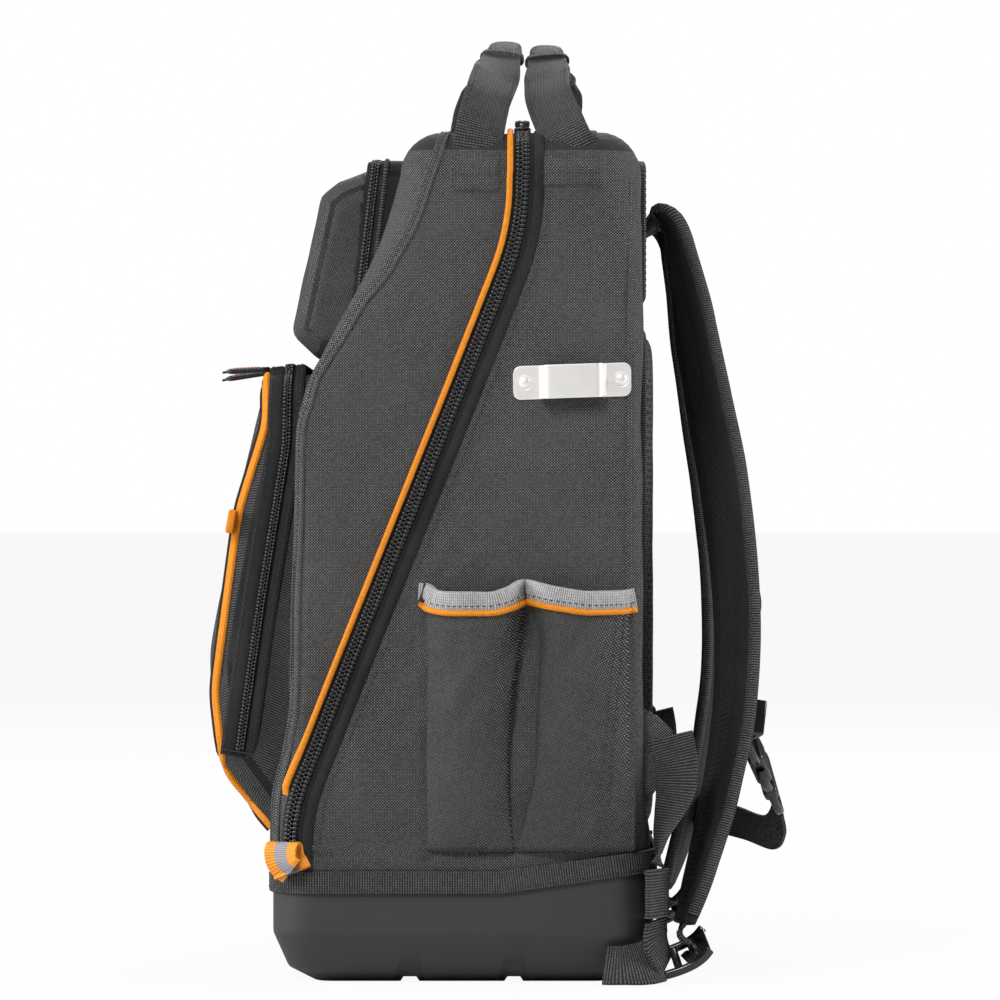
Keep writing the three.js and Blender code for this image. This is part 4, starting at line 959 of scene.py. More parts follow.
rim_line = Along(wall_skin, [Vector((r, rim(wall_skin(r, 0).y))) for r in
                             [RING * k / 360 for k in range(361)]], 2.6)
band = sewn(rim_line, [(5.7, 0.2), (-5.7, 0.2), (-6.0, 1.0), (-5.5, 2.0), (-2.2, 2.2), (2.2, 2.2), (5.5, 2.0),
                       (6.0, 1.0)], step=2.6)
piece("rim_binding", band, BINDING, ["base_binding"])
for across in (-3.4, 3.4):
    all_stitches += stitch_frames(rim_line, across, 2.15, pitch=3.6, length=2.4)
print("rim band length", round(rim_line.length))

# %% [markdown]
# ## The main zip
# A chunky coil zip runs up both sides and over the top. The coil is what the eye reads: two rows
# of slanted loops that lock in a ridge along the middle. Each loop is one low bead, repeated along
# the line. Beside the coil lie the woven tape, an orange cord in front and a smooth welt behind.

# %% zip tape, cord and welt
up_right = [Vector((zip_course(z)[0], z)) for z in [59 + k * 4 for k in range(91)]]
over_top = [Vector((31, g)) for g in range(424, int(MIDDLE_GIRTH), 6)]
half_run = up_right + over_top
whole_run = half_run + [Vector((p.x, 2 * MIDDLE_GIRTH - p.y)) for p in reversed(half_run)]


def smooth_skin(y, girth):
    return bag_skin(y, girth, False)


zip_line = Along(smooth_skin, whole_run, 3.0)
tape = sewn(zip_line, [(5.9, -1.2), (-4.7, -1.2), (-4.7, 0.35), (-3.6, 0.5), (3.6, 0.5), (5.9, 0.35)], step=3)
cord_start = 38.0
cord = sewn(zip_line, round_section(1.6, 1.5, -6.4, 1.3, 12), cord_start, zip_line.length - cord_start, 2.2,
            taper=5.0)
piece("orange_zip_cord", cord, ORANGE, ["main_zip_piping"])
welt = sewn(zip_line, [(11.2, 0.1), (6.0, 0.1), (6.0, 1.0), (6.9, 1.75), (9.0, 1.9), (10.8, 1.5), (11.4, 0.8)],
            step=3)
piece("zip_welt", welt, DARK_NYLON, ["main_zip_welt"])
all_stitches += stitch_frames(zip_line, 15.0, 0.9, 14, zip_line.length - 14, pitch=3.4, length=2.2)


# %% zip coil
def coil_loop(bm):
    bmesh.ops.create_uvsphere(bm, u_segments=8, v_segments=6, radius=1)


def coil(line, pitch, reach, high, start=0.0, end=None, slant=24.0, fat=0.62):
    end = line.length if end is None else end
    count = int((end - start) / pitch)
    frames = []
    for k in range(count):
        s = start + (k + 0.5) * pitch
        for side in (-1, 1):
            shift = 0.25 * pitch * side
            frames.append(line.frame(s + shift, side * reach * 0.56, high * 0.45, turn=side * slant,
                                     size=(pitch * fat, reach * 0.50, high * 0.62)))
            frames.append(line.frame(s + shift, side * reach * 0.12, high * 0.62, turn=-side * 30,
                                     size=(pitch * 0.42, reach * 0.26, high * 0.5)))
    return beads(coil_loop, frames)


piece("main_zip_tape", tape, DARK_NYLON, ["main_zip"])
piece("main_zip_coil", coil(zip_line, 2.3, 3.7, 2.2), COIL, ["main_zip"])
print("zip length", round(zip_line.length), "coil faces", len(made_pieces[-1].data.polygons))

# %% [markdown]
# ## Seams and patches on the body
# Two felled seams show: one runs up the front edge of the side panel and over the top, and one runs along the foot of
# the panel. Each is a folded strip with one row of stitches. The handles' webbing ends under two stitched patches just
# below the crown.

# %% felled seams
SEAM = [(-2.7, 0.0), (-2.7, 0.9), (-1.9, 1.45), (-0.5, 0.9), (0.5, 0.9), (1.9, 1.45), (2.7, 0.9), (2.7, 0.0)]
seam_side = [Vector((seam_course(z)[0], z)) for z in range(58, 446, 4)]
seam_top = [Vector((-9.0, g)) for g in range(450, int(MIDDLE_GIRTH), 8)]
seam_half = seam_side + seam_top
seam_whole = seam_half + [Vector((p.x, 2 * MIDDLE_GIRTH - p.y)) for p in reversed(seam_half)]
front_seam = Along(smooth_skin, seam_whole, 3.5)
seams = [sewn(front_seam, SEAM, step=3.5)]
foot_seam = Along(smooth_skin, [Vector((y, 71.0 + max(0, y) * 0.03)) for y in range(-80, 89, 4)], 4)
seams.append(sewn(foot_seam, [(-1.6, 0), (-1.4, 0.9), (0, 1.2), (1.4, 0.9), (1.6, 0)], step=4))
rear_seam = Along(smooth_skin, [Vector((86.5 + 1.5 * ease((z - 330) / 90), z)) for z in range(66, 420, 4)], 4)
seams.append(sewn(rear_seam, [(-1.7, 0), (-1.3, 0.8), (0, 1.1), (1.3, 0.8), (1.7, 0)], step=4))
seams += [mirrored(seams[1]), mirrored(seams[2])]
piece("body_seams", joined(seams), NYLON)
all_stitches += stitch_frames(front_seam, 0.0, 1.0, pitch=3.2, length=2.1)
all_stitches += stitch_frames(foot_seam, 3.6, 0.8, pitch=3.2, length=2.1)
print("front seam length", round(front_seam.length))


# %% handle patches
def patch(surface, low, high, proud=1.1, columns=16, rows=12):
    """A cloth patch between two (a, b) corners, with its edges turned down to the surface."""
    def place(s, t):
        a, b = lerp(low[0], high[0], s), lerp(low[1], high[1], t)
        point, out = outward(surface, a, b)
        edge = min(s, 1 - s, t, 1 - t)
        return point + out * (proud * ease(edge * 9) + (0.1 if edge > 0 else -0.6)), (a, b)
    return draped(columns, rows, place)


def boxed_stitches(surface, low, high, proud):
    corners = [(low[0], low[1]), (high[0], low[1]), (high[0], high[1]), (low[0], high[1]), (low[0], low[1])]
    frames = []
    for (a, b), (c, d) in zip(corners, corners[1:]):
        side = Along(surface, [Vector((a, b)), Vector((c, d))], 4)
        frames += stitch_frames(side, 0, proud, pitch=2.8, length=1.9, wide=0.3)
    return frames


patches = []
for low, high in (((-8.0, 411.0), (20.5, 433.5)), ((37.6, 414.0), (73.8, 432.0))):
    patches.append(patch(bag_skin, low, high))
    inner = ((low[0] + 2.2, low[1] + 2.2), (high[0] - 2.2, high[1] - 1.8))
    right = boxed_stitches(bag_skin, *inner, 1.45)
    middle = (inner[0][1] + inner[1][1]) / 2 - 1
    right += stitch_frames(Along(bag_skin, [Vector((inner[0][0], middle)), Vector((inner[1][0], middle))], 4),
                           0, 1.45, pitch=2.8, length=1.9, wide=0.3)
    all_stitches += both_sides(right)
pair("handle_patches", joined(patches), NYLON)

# %% [markdown]
# ## Slip pockets on the sides
# One sheet of herringbone cloth is sewn down at the front, in the middle and at the rear, and has
# more length than the panel under it. So each pocket stands off like a flattened tube and drops
# into a dark fold at the middle seam, which closes to a point at the foot. The mouth is bound with
# grey tape, under which an orange cord is sewn.

# %% slip pocket surface
SLIP_FRONT, SLIP_MIDDLE, SLIP_REAR, SLIP_FOOT = -19.5, 32.0, 86.5, 71.0
slip_mouth = smooth_table([(-24, 208.0), (-19.5, 207.6), (-14, 204.2), (-8, 203.3), (13, 203.2), (22, 205.4),
                           (32, 209.6), (42, 207.4), (53, 205.2), (68, 203.6), (82, 203.8), (90, 205.0)])


fold_edges = smooth_table([(69.0, 26.8, 27.8), (90.5, 24.6, 33.2), (110, 24.2, 37.2), (155, 27.0, 39.0),
                           (176, 30.0, 40.6), (197, 31.6, 35.0), (204, 31.6, 32.6), (214, 31.7, 32.3)])


def slip_out(y, z):
    """How far the pocket cloth stands off the side panel. It drops to the panel in the fold."""
    up = clamp((z - SLIP_FOOT) / (207 - SLIP_FOOT))
    fold_front, fold_rear = fold_edges(z)
    seam = (fold_front + fold_rear) / 2
    if fold_front < y < fold_rear:
        return 0.2
    low, high = (SLIP_FRONT, fold_front) if y < seam else (fold_rear, SLIP_REAR)
    share = clamp((y - low) / (high - low))
    wave = math.sin(math.pi * share)
    sharp = 0.34 if (share > 0.5) == (y < seam) else 0.72
    full = wave ** sharp * (0.20 + 0.80 * up ** 0.62) * (18.5 if y < seam else 16.5)
    full += 1.7 * wave * noise.noise(Vector(((0.75 * y - 0.65 * z) / 11, (0.65 * y + 0.75 * z) / 60, 8.3)))
    crease = 1.5 * bell(y - (seam - 17) - 0.32 * (z - 150), 0, 9) * bell(z, 168, 42) if y < seam else 0.0
    crease += 0.8 * bell(y + 5 - 0.25 * (190 - z), 0, 6) * bell(z, 180, 22)
    dents = 1.5 * noise.noise(Vector((y / 17, z / 30, 4.4))) + 0.5 * noise.noise(Vector((y / 6, z / 9, 2.2)))
    return full + (dents * (0.3 + up) - crease) * clamp(full / 6)


def slip_skin(y, z):
    return Vector((side_at(z) + 0.9 + slip_out(y, z), y, z))


def slip_columns(z):
    """The sheet's columns at a height: flange, front pocket, fold, rear pocket, flange."""
    fold_front, fold_rear = fold_edges(z)
    ys = [-23.0, -21.6, -20.4]
    ys += [lerp(SLIP_FRONT, fold_front, 1 - (1 - k / 40) ** 1.35) for k in range(41)]
    ys += [lerp(fold_front, fold_rear, k / 4) for k in (1, 2, 3)]
    ys += [lerp(fold_rear, SLIP_REAR, (k / 40) ** 1.35) for k in range(41)]
    return ys + [88.0, 89.5]


def slip_sheet():
    columns = len(slip_columns(100)) - 1

    def place(s, t):
        y = slip_columns(lerp(SLIP_FOOT - 1.5, 203, t))[round(s * columns)]
        z = lerp(SLIP_FOOT - 1.5, slip_mouth(y)[0] - 3, t)
        return slip_skin(y, z), (y * 1.12 + 0.5 * slip_out(y, z), z)

    return draped(columns, 46, place)


for pocket in pair("slip_pockets", slip_sheet(), POCKET_NYLON, ["slip_pocket"], 70):
    walled(pocket, 1.2)
mouth_line = Along(slip_skin, [Vector((y, slip_mouth(y)[0])) for y in [-23 + k for k in range(113)]], 1.6)
BOUND = [(-0.7, -2.2), (-1.1, -0.8), (-0.6, 0.7), (1.0, 1.15), (7.4, 1.15), (8.7, 0.7), (8.8, 0.0), (8.6, -1.6),
         (4.0, -2.4)]
pair("slip_bindings", sewn(mouth_line, BOUND, step=1.6), GREY_TAPE, ["slip_binding"])
cord = sewn(mouth_line, round_section(1.55, 1.5, 10.1, 0.7, 10), 0.6, step=1.6, taper=1.2)
pair("slip_cords", cord, ORANGE, ["slip_piping"])
right = stitch_frames(mouth_line, 6.4, 1.15, 4, pitch=3.0, length=2.0)
right += stitch_frames(Along(slip_skin, [Vector((SLIP_FRONT - 1, z)) for z in range(74, 204, 5)], 4), 0, 0.3,
                       pitch=3.0, length=2.0)
for lean in (0.0, 4.2):
    rows = [Vector((84.5 - lean - (200 - z) * 0.085, z)) for z in range(76, 194, 5)]
    right += stitch_frames(Along(slip_skin, rows, 4), 0, 0.4, pitch=3.0, length=2.0)
all_stitches += both_sides(right)


# %% bartacks and the front flange
def bartack(line, s, across_from, across_to, proud=1.3):
    """Dense stitches side by side, which lock a corner."""
    count = max(2, int(abs(across_to - across_from) / 0.75))
    return [line.frame(s, lerp(across_from, across_to, k / (count - 1)), proud, size=(1.3, 0.5, 0.4))
            for k in range(count)]


tack_places = bartack(mouth_line, 5.0, -0.6, 11.4)
middle_s = min((abs(mouth_line.at(s)[0].y - SLIP_MIDDLE), s) for s in range(int(mouth_line.length)))[1]
tack_places += bartack(mouth_line, middle_s, -1.0, 10.5)
pair("slip_bartacks", beads(stitch_bead, tack_places), THREAD)
flange_line = Along(bag_skin, [Vector((-20.6, z)) for z in range(66, 206, 4)], 4)
flange = sewn(flange_line, [(-3.2, -0.3), (-3.0, 0.7), (0, 1.1), (2.6, 0.8), (3.0, -0.3)], step=4)
pair("slip_flanges", flange, POCKET_NYLON)
print("slip pocket mouth", round(mouth_line.length))

# %% [markdown]
# ## The two pockets on the front
# Both pockets are pillows: a side-view outline carried across the bag, with a round edge where the
# outline meets the flat sides. The upper one is cloth pressed over a hard form, so its facets stay
# crisp. A grid wraps it: columns go round the outline, rows go from the middle out to the side
# and then inwards over the flat side until they meet.

# %% pillow helpers
def closed_outline(corners, steps=5):
    """The outline's points, anticlockwise, with every corner rounded."""
    count = len(corners)
    out = []
    for i, (y, z, radius) in enumerate(corners):
        before, after = corners[i - 1], corners[(i + 1) % count]
        turned = rounded([(*before[:2], 0), (y, z, radius), (*after[:2], 0)], steps)
        out += turned[1:-1] if len(turned) > 3 else [Vector((y, z))]
    return out


def even_loop(points, step):
    return even([*points, points[0]], step)[:-1]


def inset_loop(points, inset):
    """Moves a closed anticlockwise loop inwards, without letting short edges turn over."""
    count, moved = len(points), []
    for i, p in enumerate(points):
        before, after = (p - points[i - 1]), (points[(i + 1) % count] - p)
        way = (before.normalized() + after.normalized()).normalized()
        moved.append(p + Vector((-way.y, way.x)) * inset)
    for _ in range(60):
        turned_over = [i for i in range(count) if
                       (moved[(i + 1) % count] - moved[i]).dot(points[(i + 1) % count] - points[i]) < 0]
        if not turned_over:
            break
        for i in turned_over:
            j = (i + 1) % count
            before, after = moved[i - 1], moved[(j + 1) % count]
            moved[i], moved[j] = before.lerp(after, 0.42), before.lerp(after, 0.58)
    return moved


def pillow(corners, half, edge, step=3.0, swell=None, shrink=0.0):
    """Both sides and the wrap of a pocket. swell(y, z, x) lifts the cloth outwards."""
    loop = inset_loop(even_loop(closed_outline(corners), step), shrink)
    half, count = half - shrink, len(loop)
    middle = Vector((sum(p.x for p in loop) / count, sum(p.y for p in loop) / count))
    levels = [(x, 0.0, 1.0) for x in (0, 0.2, 0.4, 0.6, 0.75, 0.88, 1.0)]
    rows = [((half - edge) * x, 0.0, 1.0, 0.0) for x, _, _ in levels]
    rows += [(half - edge + edge * math.sin(a), edge * (1 - math.cos(a)), 1.0, a)
             for a in (math.pi / 2 * k / 6 for k in range(1, 7))]
    rows += [(half, edge, 1 - k / 14, math.pi / 2) for k in range(1, 15)]
    rows = [(-x, i, c, a) for x, i, c, a in reversed(rows[1:])] + rows
    insets = {round(r[1], 4): inset_loop(loop, r[1]) for r in rows}
    lengths = [0.0]
    for k in range(count):
        lengths.append(lengths[-1] + (loop[(k + 1) % count] - loop[k]).length)

    def place(s, t):
        column, (x, inset, share, angle) = round(s * count), rows[round(t * (len(rows) - 1))]
        k = column % count
        flat = middle.lerp(insets[round(inset, 4)][k], share)
        before, after = loop[k - 1], loop[(k + 1) % count]
        way = (after - before).normalized()
        side = math.copysign(1, x) if x else 0.0
        out = Vector((side * math.sin(angle), way.y * math.cos(angle), -way.x * math.cos(angle)))
        point = Vector((x, flat.x, flat.y))
        if swell:
            point += out * swell(flat.x, flat.y, x)
        uv = (flat.x, flat.y) if angle > 1.2 else (x, lengths[column])
        return point, uv

    return close(draped(count, len(rows) - 1, place), caps=False)


class SideRun:
    """A line drawn in the side view on a pillow: up one side, over its round edge."""

    def __init__(self, line, corners, half, edge, swell=0.0):
        loop = even_loop(closed_outline(corners, 8), 2.0)
        self.count, self.edge, self.half = len(loop), edge, half
        self.loop = loop
        self.swell = swell
        self.line = Along(self.skin, line, 3.0)

    def skin(self, y, z):
        here = Vector((y, z))
        best, inside = 1e9, 0.0
        for i, p in enumerate(self.loop):
            q = self.loop[(i + 1) % self.count]
            t = clamp((here - p).dot(q - p) / max((q - p).length_squared, 1e-9))
            gap = here - p.lerp(q, t)
            if gap.length < best:
                best, inside = gap.length, (q - p).x * gap.y - (q - p).y * gap.x
        depth = best if inside >= 0 else 0.0
        rise = self.edge if depth >= self.edge else math.sqrt(max(0.0, self.edge ** 2 - (self.edge - depth) ** 2))
        return Vector((self.half - self.edge + rise, y, z)) + Vector((self.swell, 0, 0))


# %% moulded upper pocket
HARD = [(-20, 330, 0), (-20, 427, 0), (-48, 427, 2.5), (-66, 420.5, 6), (-75.5, 413, 7), (-91.5, 340, 9), (-78, 327, 6)]
HARD_FRAME = [(-20, 322, 0), (-20, 431.5, 0), (-52, 431.5, 6), (-70, 322, 5)]
hard = pillow(HARD, 122, 12, 3.0, lambda y, z, x: 0.5 * noise.noise(Vector((y / 16, z / 16, x / 16))))
bmesh.ops.bisect_plane(hard, geom=[*hard.verts, *hard.edges, *hard.faces], dist=1e-4, clear_outer=True,
                       plane_co=(0, -60.5 - 4.3, 300), plane_no=(0, 160, -17.5))
walled(piece("hard_pocket_cover", hard, MOULDED, ["hard_pocket_shell"], 30), 2.0)


def frame_swell(y, z, x):
    return 0.35 * noise.noise(Vector((y / 14, z / 20, x / 20)))


gusset = pillow(HARD_FRAME, 126, 12, 2.6, frame_swell)
bmesh.ops.bisect_plane(gusset, geom=[*gusset.verts, *gusset.edges, *gusset.faces], dist=1e-4, clear_inner=True,
                       plane_co=(0, -60.5 - 4.6, 300), plane_no=(0, 160, -17.5))
walled(piece("hard_pocket_side", gusset, DARK_NYLON, ["hard_pocket_gusset"], 30), 1.6)
hard_run = SideRun([Vector((lerp(-58.4, -46.0, k / 30), lerp(323, 430.5, k / 30))) for k in range(31)],
                   HARD_FRAME, 126, 12)


def over_top(run, half, x_step=4.0):
    """Carries a side run over the pocket's top edge and down the other side."""
    right = [run.line.at(s)[0] for s in [run.line.length * k / 60 for k in range(61)]]
    top = right[-1]
    across = [Vector((x, top.y, top.z)) for x in
              [half - k * x_step for k in range(int(2 * half / x_step) + 1)] if abs(x) < top.x - 1]
    return right + across + [Vector((-p.x, p.y, p.z)) for p in reversed(right)]


class FreeRun:
    """A line through points in space, whose outward side is given by a function of the point."""

    def __init__(self, points, outward_of, step=3.0):
        self.points = even(points, step)
        self.outward_of = outward_of
        self.step = (self.points[1] - self.points[0]).length
        self.length = self.step * (len(self.points) - 1)

    def at(self, s, across=0.0, proud=0.0):
        s = clamp(s, 0, self.length)
        i = min(int(s / self.step), len(self.points) - 2)
        point = self.points[i].lerp(self.points[i + 1], s / self.step - i)
        a, b = self.points[max(i - 1, 0)], self.points[min(i + 2, len(self.points) - 1)]
        forward = (b - a).normalized()
        out = self.outward_of(point)
        out = (out - forward * out.dot(forward)).normalized()
        side = forward.cross(out)
        return point + side * across + out * proud, forward, out

    frame = Along.frame


def box_outward(half, edge, top, y_weight=-0.15):
    """Outward from a pillow: sideways on its flats, upwards on its top, between them on its edge."""
    def outward_of(p):
        sideways = ease((abs(p.x) - (half - edge)) / edge) if edge else 1.0
        up = ease((p.z - (top - edge)) / edge)
        return Vector((math.copysign(sideways * (1.15 - up), p.x), y_weight, up * (1.15 - sideways * 0.5)))
    return outward_of


hard_line = FreeRun(over_top(hard_run, 126), box_outward(126, 12, 431.5, 0.0), 3.0)
tape = sewn(hard_line, [(4.3, -1.0), (-4.3, -1.0), (-4.3, 0.2), (4.3, 0.2)], step=3)
piece("hard_zip_tape", tape, DARK_NYLON, ["hard_pocket_zip"])
piece("hard_zip_coil", coil(hard_line, 1.9, 2.5, 1.4), COIL)
frame_lip = sewn(hard_line, round_section(1.5, 1.5, 5.6, 0.6, 8), step=3)
piece("hard_pocket_piping", frame_lip, WEBBING)
print("hard pocket zip", round(hard_line.length))

# %% [markdown]
# The lower pocket is soft. Its ribbed gusset bellies out, and its front panel is edged by a woven
# orange band that follows the silhouette. A fine coil zip lies in the gusset beside a smooth
# flap, and stops above the foot.

# %% lower pocket
LOWER = [(-60, 77, 0), (-60, 318, 0), (-104, 318, 13), (-121, 248, 120), (-135, 168, 90), (-131, 118, 50),
         (-101, 77, 8)]


def lower_swell(y, z, x):
    dents = 0.9 * noise.noise(Vector((y / 20, z / 40, x / 40))) + 0.35 * noise.noise(Vector((y / 7, z / 12, x / 12)))
    return dents * bell(z, 198, 130)


lower_zip_flat = rounded([(-92, 322, 0), (-93.0, 280, 90), (-106, 200, 200), (-118.0, 116.5, 0)], 10)
band_flat = rounded([(-104.0, 317, 0), (-103.6, 292, 40), (-118.5, 245, 120), (-131.0, 150, 60),
                     (-126, 108, 25), (-101, 79, 0)], 10)
band_course = course_of(list(reversed(band_flat)))


def split_pillow(bm, keep_front):
    """Keeps the front panel's faces, in front of the orange band, or the gusset's behind it."""
    cut = [f for f in bm.faces if (f.calc_center_median().y < band_course(f.calc_center_median().z)[0])
           != keep_front]
    bmesh.ops.delete(bm, geom=cut, context="FACES")
    return bm


front_panel = split_pillow(pillow(LOWER, 136, 20, 2.6, lower_swell), True)
walled(piece("lower_pocket_panel", front_panel, POCKET_NYLON, ["lower_pocket_front"], 60), 1.6)
side_panel = split_pillow(pillow(LOWER, 136, 20, 2.6, lower_swell), False)
walled(piece("lower_pocket_sides", side_panel, GUSSET, ["lower_pocket_gusset"], 60), 1.6)


def edge_outward(p):
    sideways = ease((abs(p.x) - 112) / 14)
    return Vector((math.copysign(sideways, p.x), -0.75, 0.5 * ease((p.z - 296) / 20)))


lower_zip = SideRun(list(reversed(lower_zip_flat)), LOWER, 136, 20)
band_run = SideRun(list(reversed(band_flat)), LOWER, 136, 20)
zip_run_3d = FreeRun(over_top(lower_zip, 136), box_outward(136, 20, 318, -0.1), 3.0)
band_3d = FreeRun(over_top(band_run, 136), edge_outward, 3.0)
tape = sewn(zip_run_3d, [(4.0, -1.2), (-4.0, -1.2), (-4.2, 0.3), (4.2, 0.3)], step=3)
piece("lower_zip_tape", tape, DARK_NYLON, ["lower_pocket_zip"])
piece("lower_zip_coil", coil(zip_run_3d, 1.9, 2.6, 1.9, 4, zip_run_3d.length - 4), COIL)
flap = sewn(zip_run_3d, [(3.2, -0.8), (3.2, 0.7), (4.0, 1.2), (7.4, 1.1), (8.4, 0.6), (8.6, -0.9)], step=3)
front_flap = sewn(zip_run_3d, [(-10.6, -0.9), (-10.4, 0.5), (-9.4, 1.0), (-4.2, 1.2), (-3.0, 0.7), (-3.0, -0.8)],
                  step=3)
piece("lower_zip_flaps", joined([flap, front_flap]), DARK_NYLON)
band = sewn(band_3d, [(2.2, -1.0), (2.4, 0.9), (1.7, 1.9), (0, 2.3), (-1.7, 1.9), (-2.4, 0.9), (-2.2, -1.0)],
            step=2.6)
piece("lower_pocket_band", band, ORANGE, ["lower_pocket_piping"])
edge_line = sewn(band_3d, [(-2.6, -0.8), (-2.5, 0.9), (-3.4, 1.3), (-4.3, 0.8), (-4.4, -0.8)], step=3)
piece("lower_pocket_edge", edge_line, DARK_NYLON)
all_stitches += stitch_frames(zip_run_3d, 6.6, 1.2, 4, zip_run_3d.length - 4, pitch=3.0, length=2.0)
all_stitches += stitch_frames(zip_run_3d, -9.0, 1.1, 4, zip_run_3d.length - 4, pitch=3.0, length=2.0)
for s_end in (3.0, zip_run_3d.length - 3.0):
    all_stitches += [zip_run_3d.frame(s_end, across, 1.5, turn=90, size=(0.9, 0.4, 0.4))
                     for across in [-9 + 1.5 * k for k in range(11)]]
print("lower zip", round(zip_run_3d.length), "band", round(band_3d.length))

# %% [markdown]
# ## Webbing, handles and straps
# A strap is a band along a row of stations. Each station says where the strap's middle is, which
# way its width points, and how wide and thick it is there. A smooth curve runs through the
# stations, and a section is carried along it, so a handle can twist and fold on its way up.

# %% bands along stations
class Band:
    """Stations are (point, across, width, thickness) in millimetres. Its own frame: forward along the
    band, side across it, and outwards forward x side."""

    def __init__(self, stations, fine=12):
        self.rows, last = [], len(stations) - 1
        for i in range(last):
            p = [stations[int(clamp(i + j, 0, last))][0] for j in (-1, 0, 1, 2)]
            a, b = stations[i], stations[i + 1]
            for k in range(fine + (i == last - 1)):
                t = k / fine
                point = 0.5 * (2 * p[1] + (p[2] - p[0]) * t + (2 * p[0] - 5 * p[1] + 4 * p[2] - p[3]) * t * t
                               + (3 * p[1] - p[0] - 3 * p[2] + p[3]) * t ** 3)
                self.rows.append((point, a[1].lerp(b[1], t).normalized(), lerp(a[2], b[2], ease(t)),
                                  lerp(a[3], b[3], ease(t))))
        self.lengths = [0.0]
        for a, b in zip(self.rows, self.rows[1:]):
            self.lengths.append(self.lengths[-1] + (b[0] - a[0]).length)
        self.length = self.lengths[-1]

    def size(self, s):
        i, t = found(self.lengths, s)
        return lerp(self.rows[i][2], self.rows[i + 1][2], t), lerp(self.rows[i][3], self.rows[i + 1][3], t)

    def at(self, s, across=0.0, proud=0.0):
        i, t = found(self.lengths, s)
        point = self.rows[i][0].lerp(self.rows[i + 1][0], t)
        ways = [(self.rows[min(k + 1, len(self.rows) - 1)][0] - self.rows[max(k - 1, 0)][0]).normalized()
                for k in (i, i + 1)]
        forward = ways[0].lerp(ways[1], t).normalized()
        side = self.rows[i][1].lerp(self.rows[i + 1][1], t).normalized()
        out = forward.cross(side).normalized()
        side = out.cross(forward)
        return point + side * across + out * proud, forward, out

    frame = Along.frame


FLAT_WEB = [(1, 0), (0.99, 0.75), (0.95, 1), (0.85, 0.85), (0.5, 0.8), (0, 0.8), (-0.5, 0.8), (-0.85, 0.85),
            (-0.95, 1), (-0.99, 0.75), (-1, 0), (-0.99, -0.75), (-0.95, -1), (-0.85, -0.85), (-0.5, -0.8), (0, -0.8),
            (0.5, -0.8), (0.85, -0.85), (0.95, -1), (0.99, -0.75)]


def oval(power=2.6, count=20):
    turns = [2 * math.pi * k / count for k in range(count)]
    return [(math.copysign(abs(math.cos(t)) ** (2 / power), math.cos(t)),
             math.copysign(abs(math.sin(t)) ** (2 / power), math.sin(t))) for t in turns]


def lofted(band, section, start=0.0, end=None, step=2.5, ripple=None, grow=0.0):
    """The section, in shares of half the width and half the thickness, carried along a band."""
    end = band.length if end is None else end
    rows, count = max(2, round((end - start) / step)), len(section)
    wide, deep = band.size((start + end) / 2)
    girth = [0.0]
    for i in range(count):
        (a, b), (c, d) = section[i], section[(i + 1) % count]
        girth.append(girth[-1] + math.hypot((c - a) * wide / 2, (d - b) * deep / 2))

    def place(s, t):
        i = round(s * count)
        a, b = section[i % count]
        along = lerp(start, end, t)
        width, depth = band.size(along)
        proud = b * (depth / 2 + grow)
        if ripple:
            proud += ripple(a, b, along)
        return band.at(along, a * (width / 2 + grow), proud)[0], (girth[i], along)

    return close(draped(count, rows, place))


def share_point(across, along, up):
    return Vector((across * BASE_HALF_WIDTH, along * HALF_DEPTH, up * BAG_TOP))


def turned(turn, rise=0.0):
    a, b = math.radians(turn), math.radians(rise)
    return Vector((math.sin(a) * math.cos(b), math.cos(a) * math.cos(b), math.sin(b)))


# %% [markdown]
# Each handle is one length of webbing. It is sewn flat under its patch, turns on its way up, folds
# in half for the grip and is wrapped there with a stitched sleeve.

# %% handles
HANDLE_WIDTH, WEB_THICK = 26.0, 2.0
# Share of the half width, share of the height, lean of the near leg, forward shift of the far leg,
# twist, share of the width and share of the grip's thickness
front_rows = [(0.0, 1.0, 0, 0, 0, 0, 1), (0.20, 0.98, 0, -1, 0, 0, 1), (0.36, 0.91, 0.04, -3, 4, 0.05, 0.9),
              (0.50, 0.80, 0.15, -6, 22, 0.5, 0.30), (0.66, 0.62, 0.33, -9, 48, 1, 0.03),
              (0.82, 0.38, 0.60, -10, 46, 1, 0), (0.94, 0.06, 0.86, -7, 18, 1, 0), (0.975, -0.22, 1.0, -5, 0, 1, 0)]
rear_rows = [(0.0, 1.0, 0, 0, 0, 0, 1), (0.20, 0.98, 0, 1, 0, 0, 1), (0.36, 0.91, 0, 3, 4, 0.05, 0.9),
             (0.50, 0.80, 0, 7, 22, 0.5, 0.30), (0.66, 0.62, -0.02, 10, 50, 1, 0.03),
             (0.82, 0.38, 0.03, 9, 46, 1, 0), (0.94, 0.06, 0.50, 6, 22, 1, 0), (0.975, -0.22, 1.0, 3, 0, 1, 0)]


def handle_band(rows, grip, foot, turn, top):
    near, far = [], []
    for across, up, lean, shift, twist, width, thick_share in rows:
        point = Vector((across * TOP_HALF_WIDTH, lerp(grip, foot, lean), lerp(BAG_TOP, top, up)))
        way = Vector((-math.sin(math.radians(turn * twist)), math.cos(math.radians(turn * twist)), 0))
        size = (lerp(16, HANDLE_WIDTH, width), lerp(WEB_THICK, 8, thick_share))
        near.append((point, way, *size))
        far.append((Vector((-point.x, point.y + shift, point.z)), Vector((-way.x, way.y, 0)), *size))
    return Band(far[:0:-1] + near)


def handle_ripple(a, b, along):
    return 0.25 * noise.noise(Vector((a, along / 18, 7.7)))


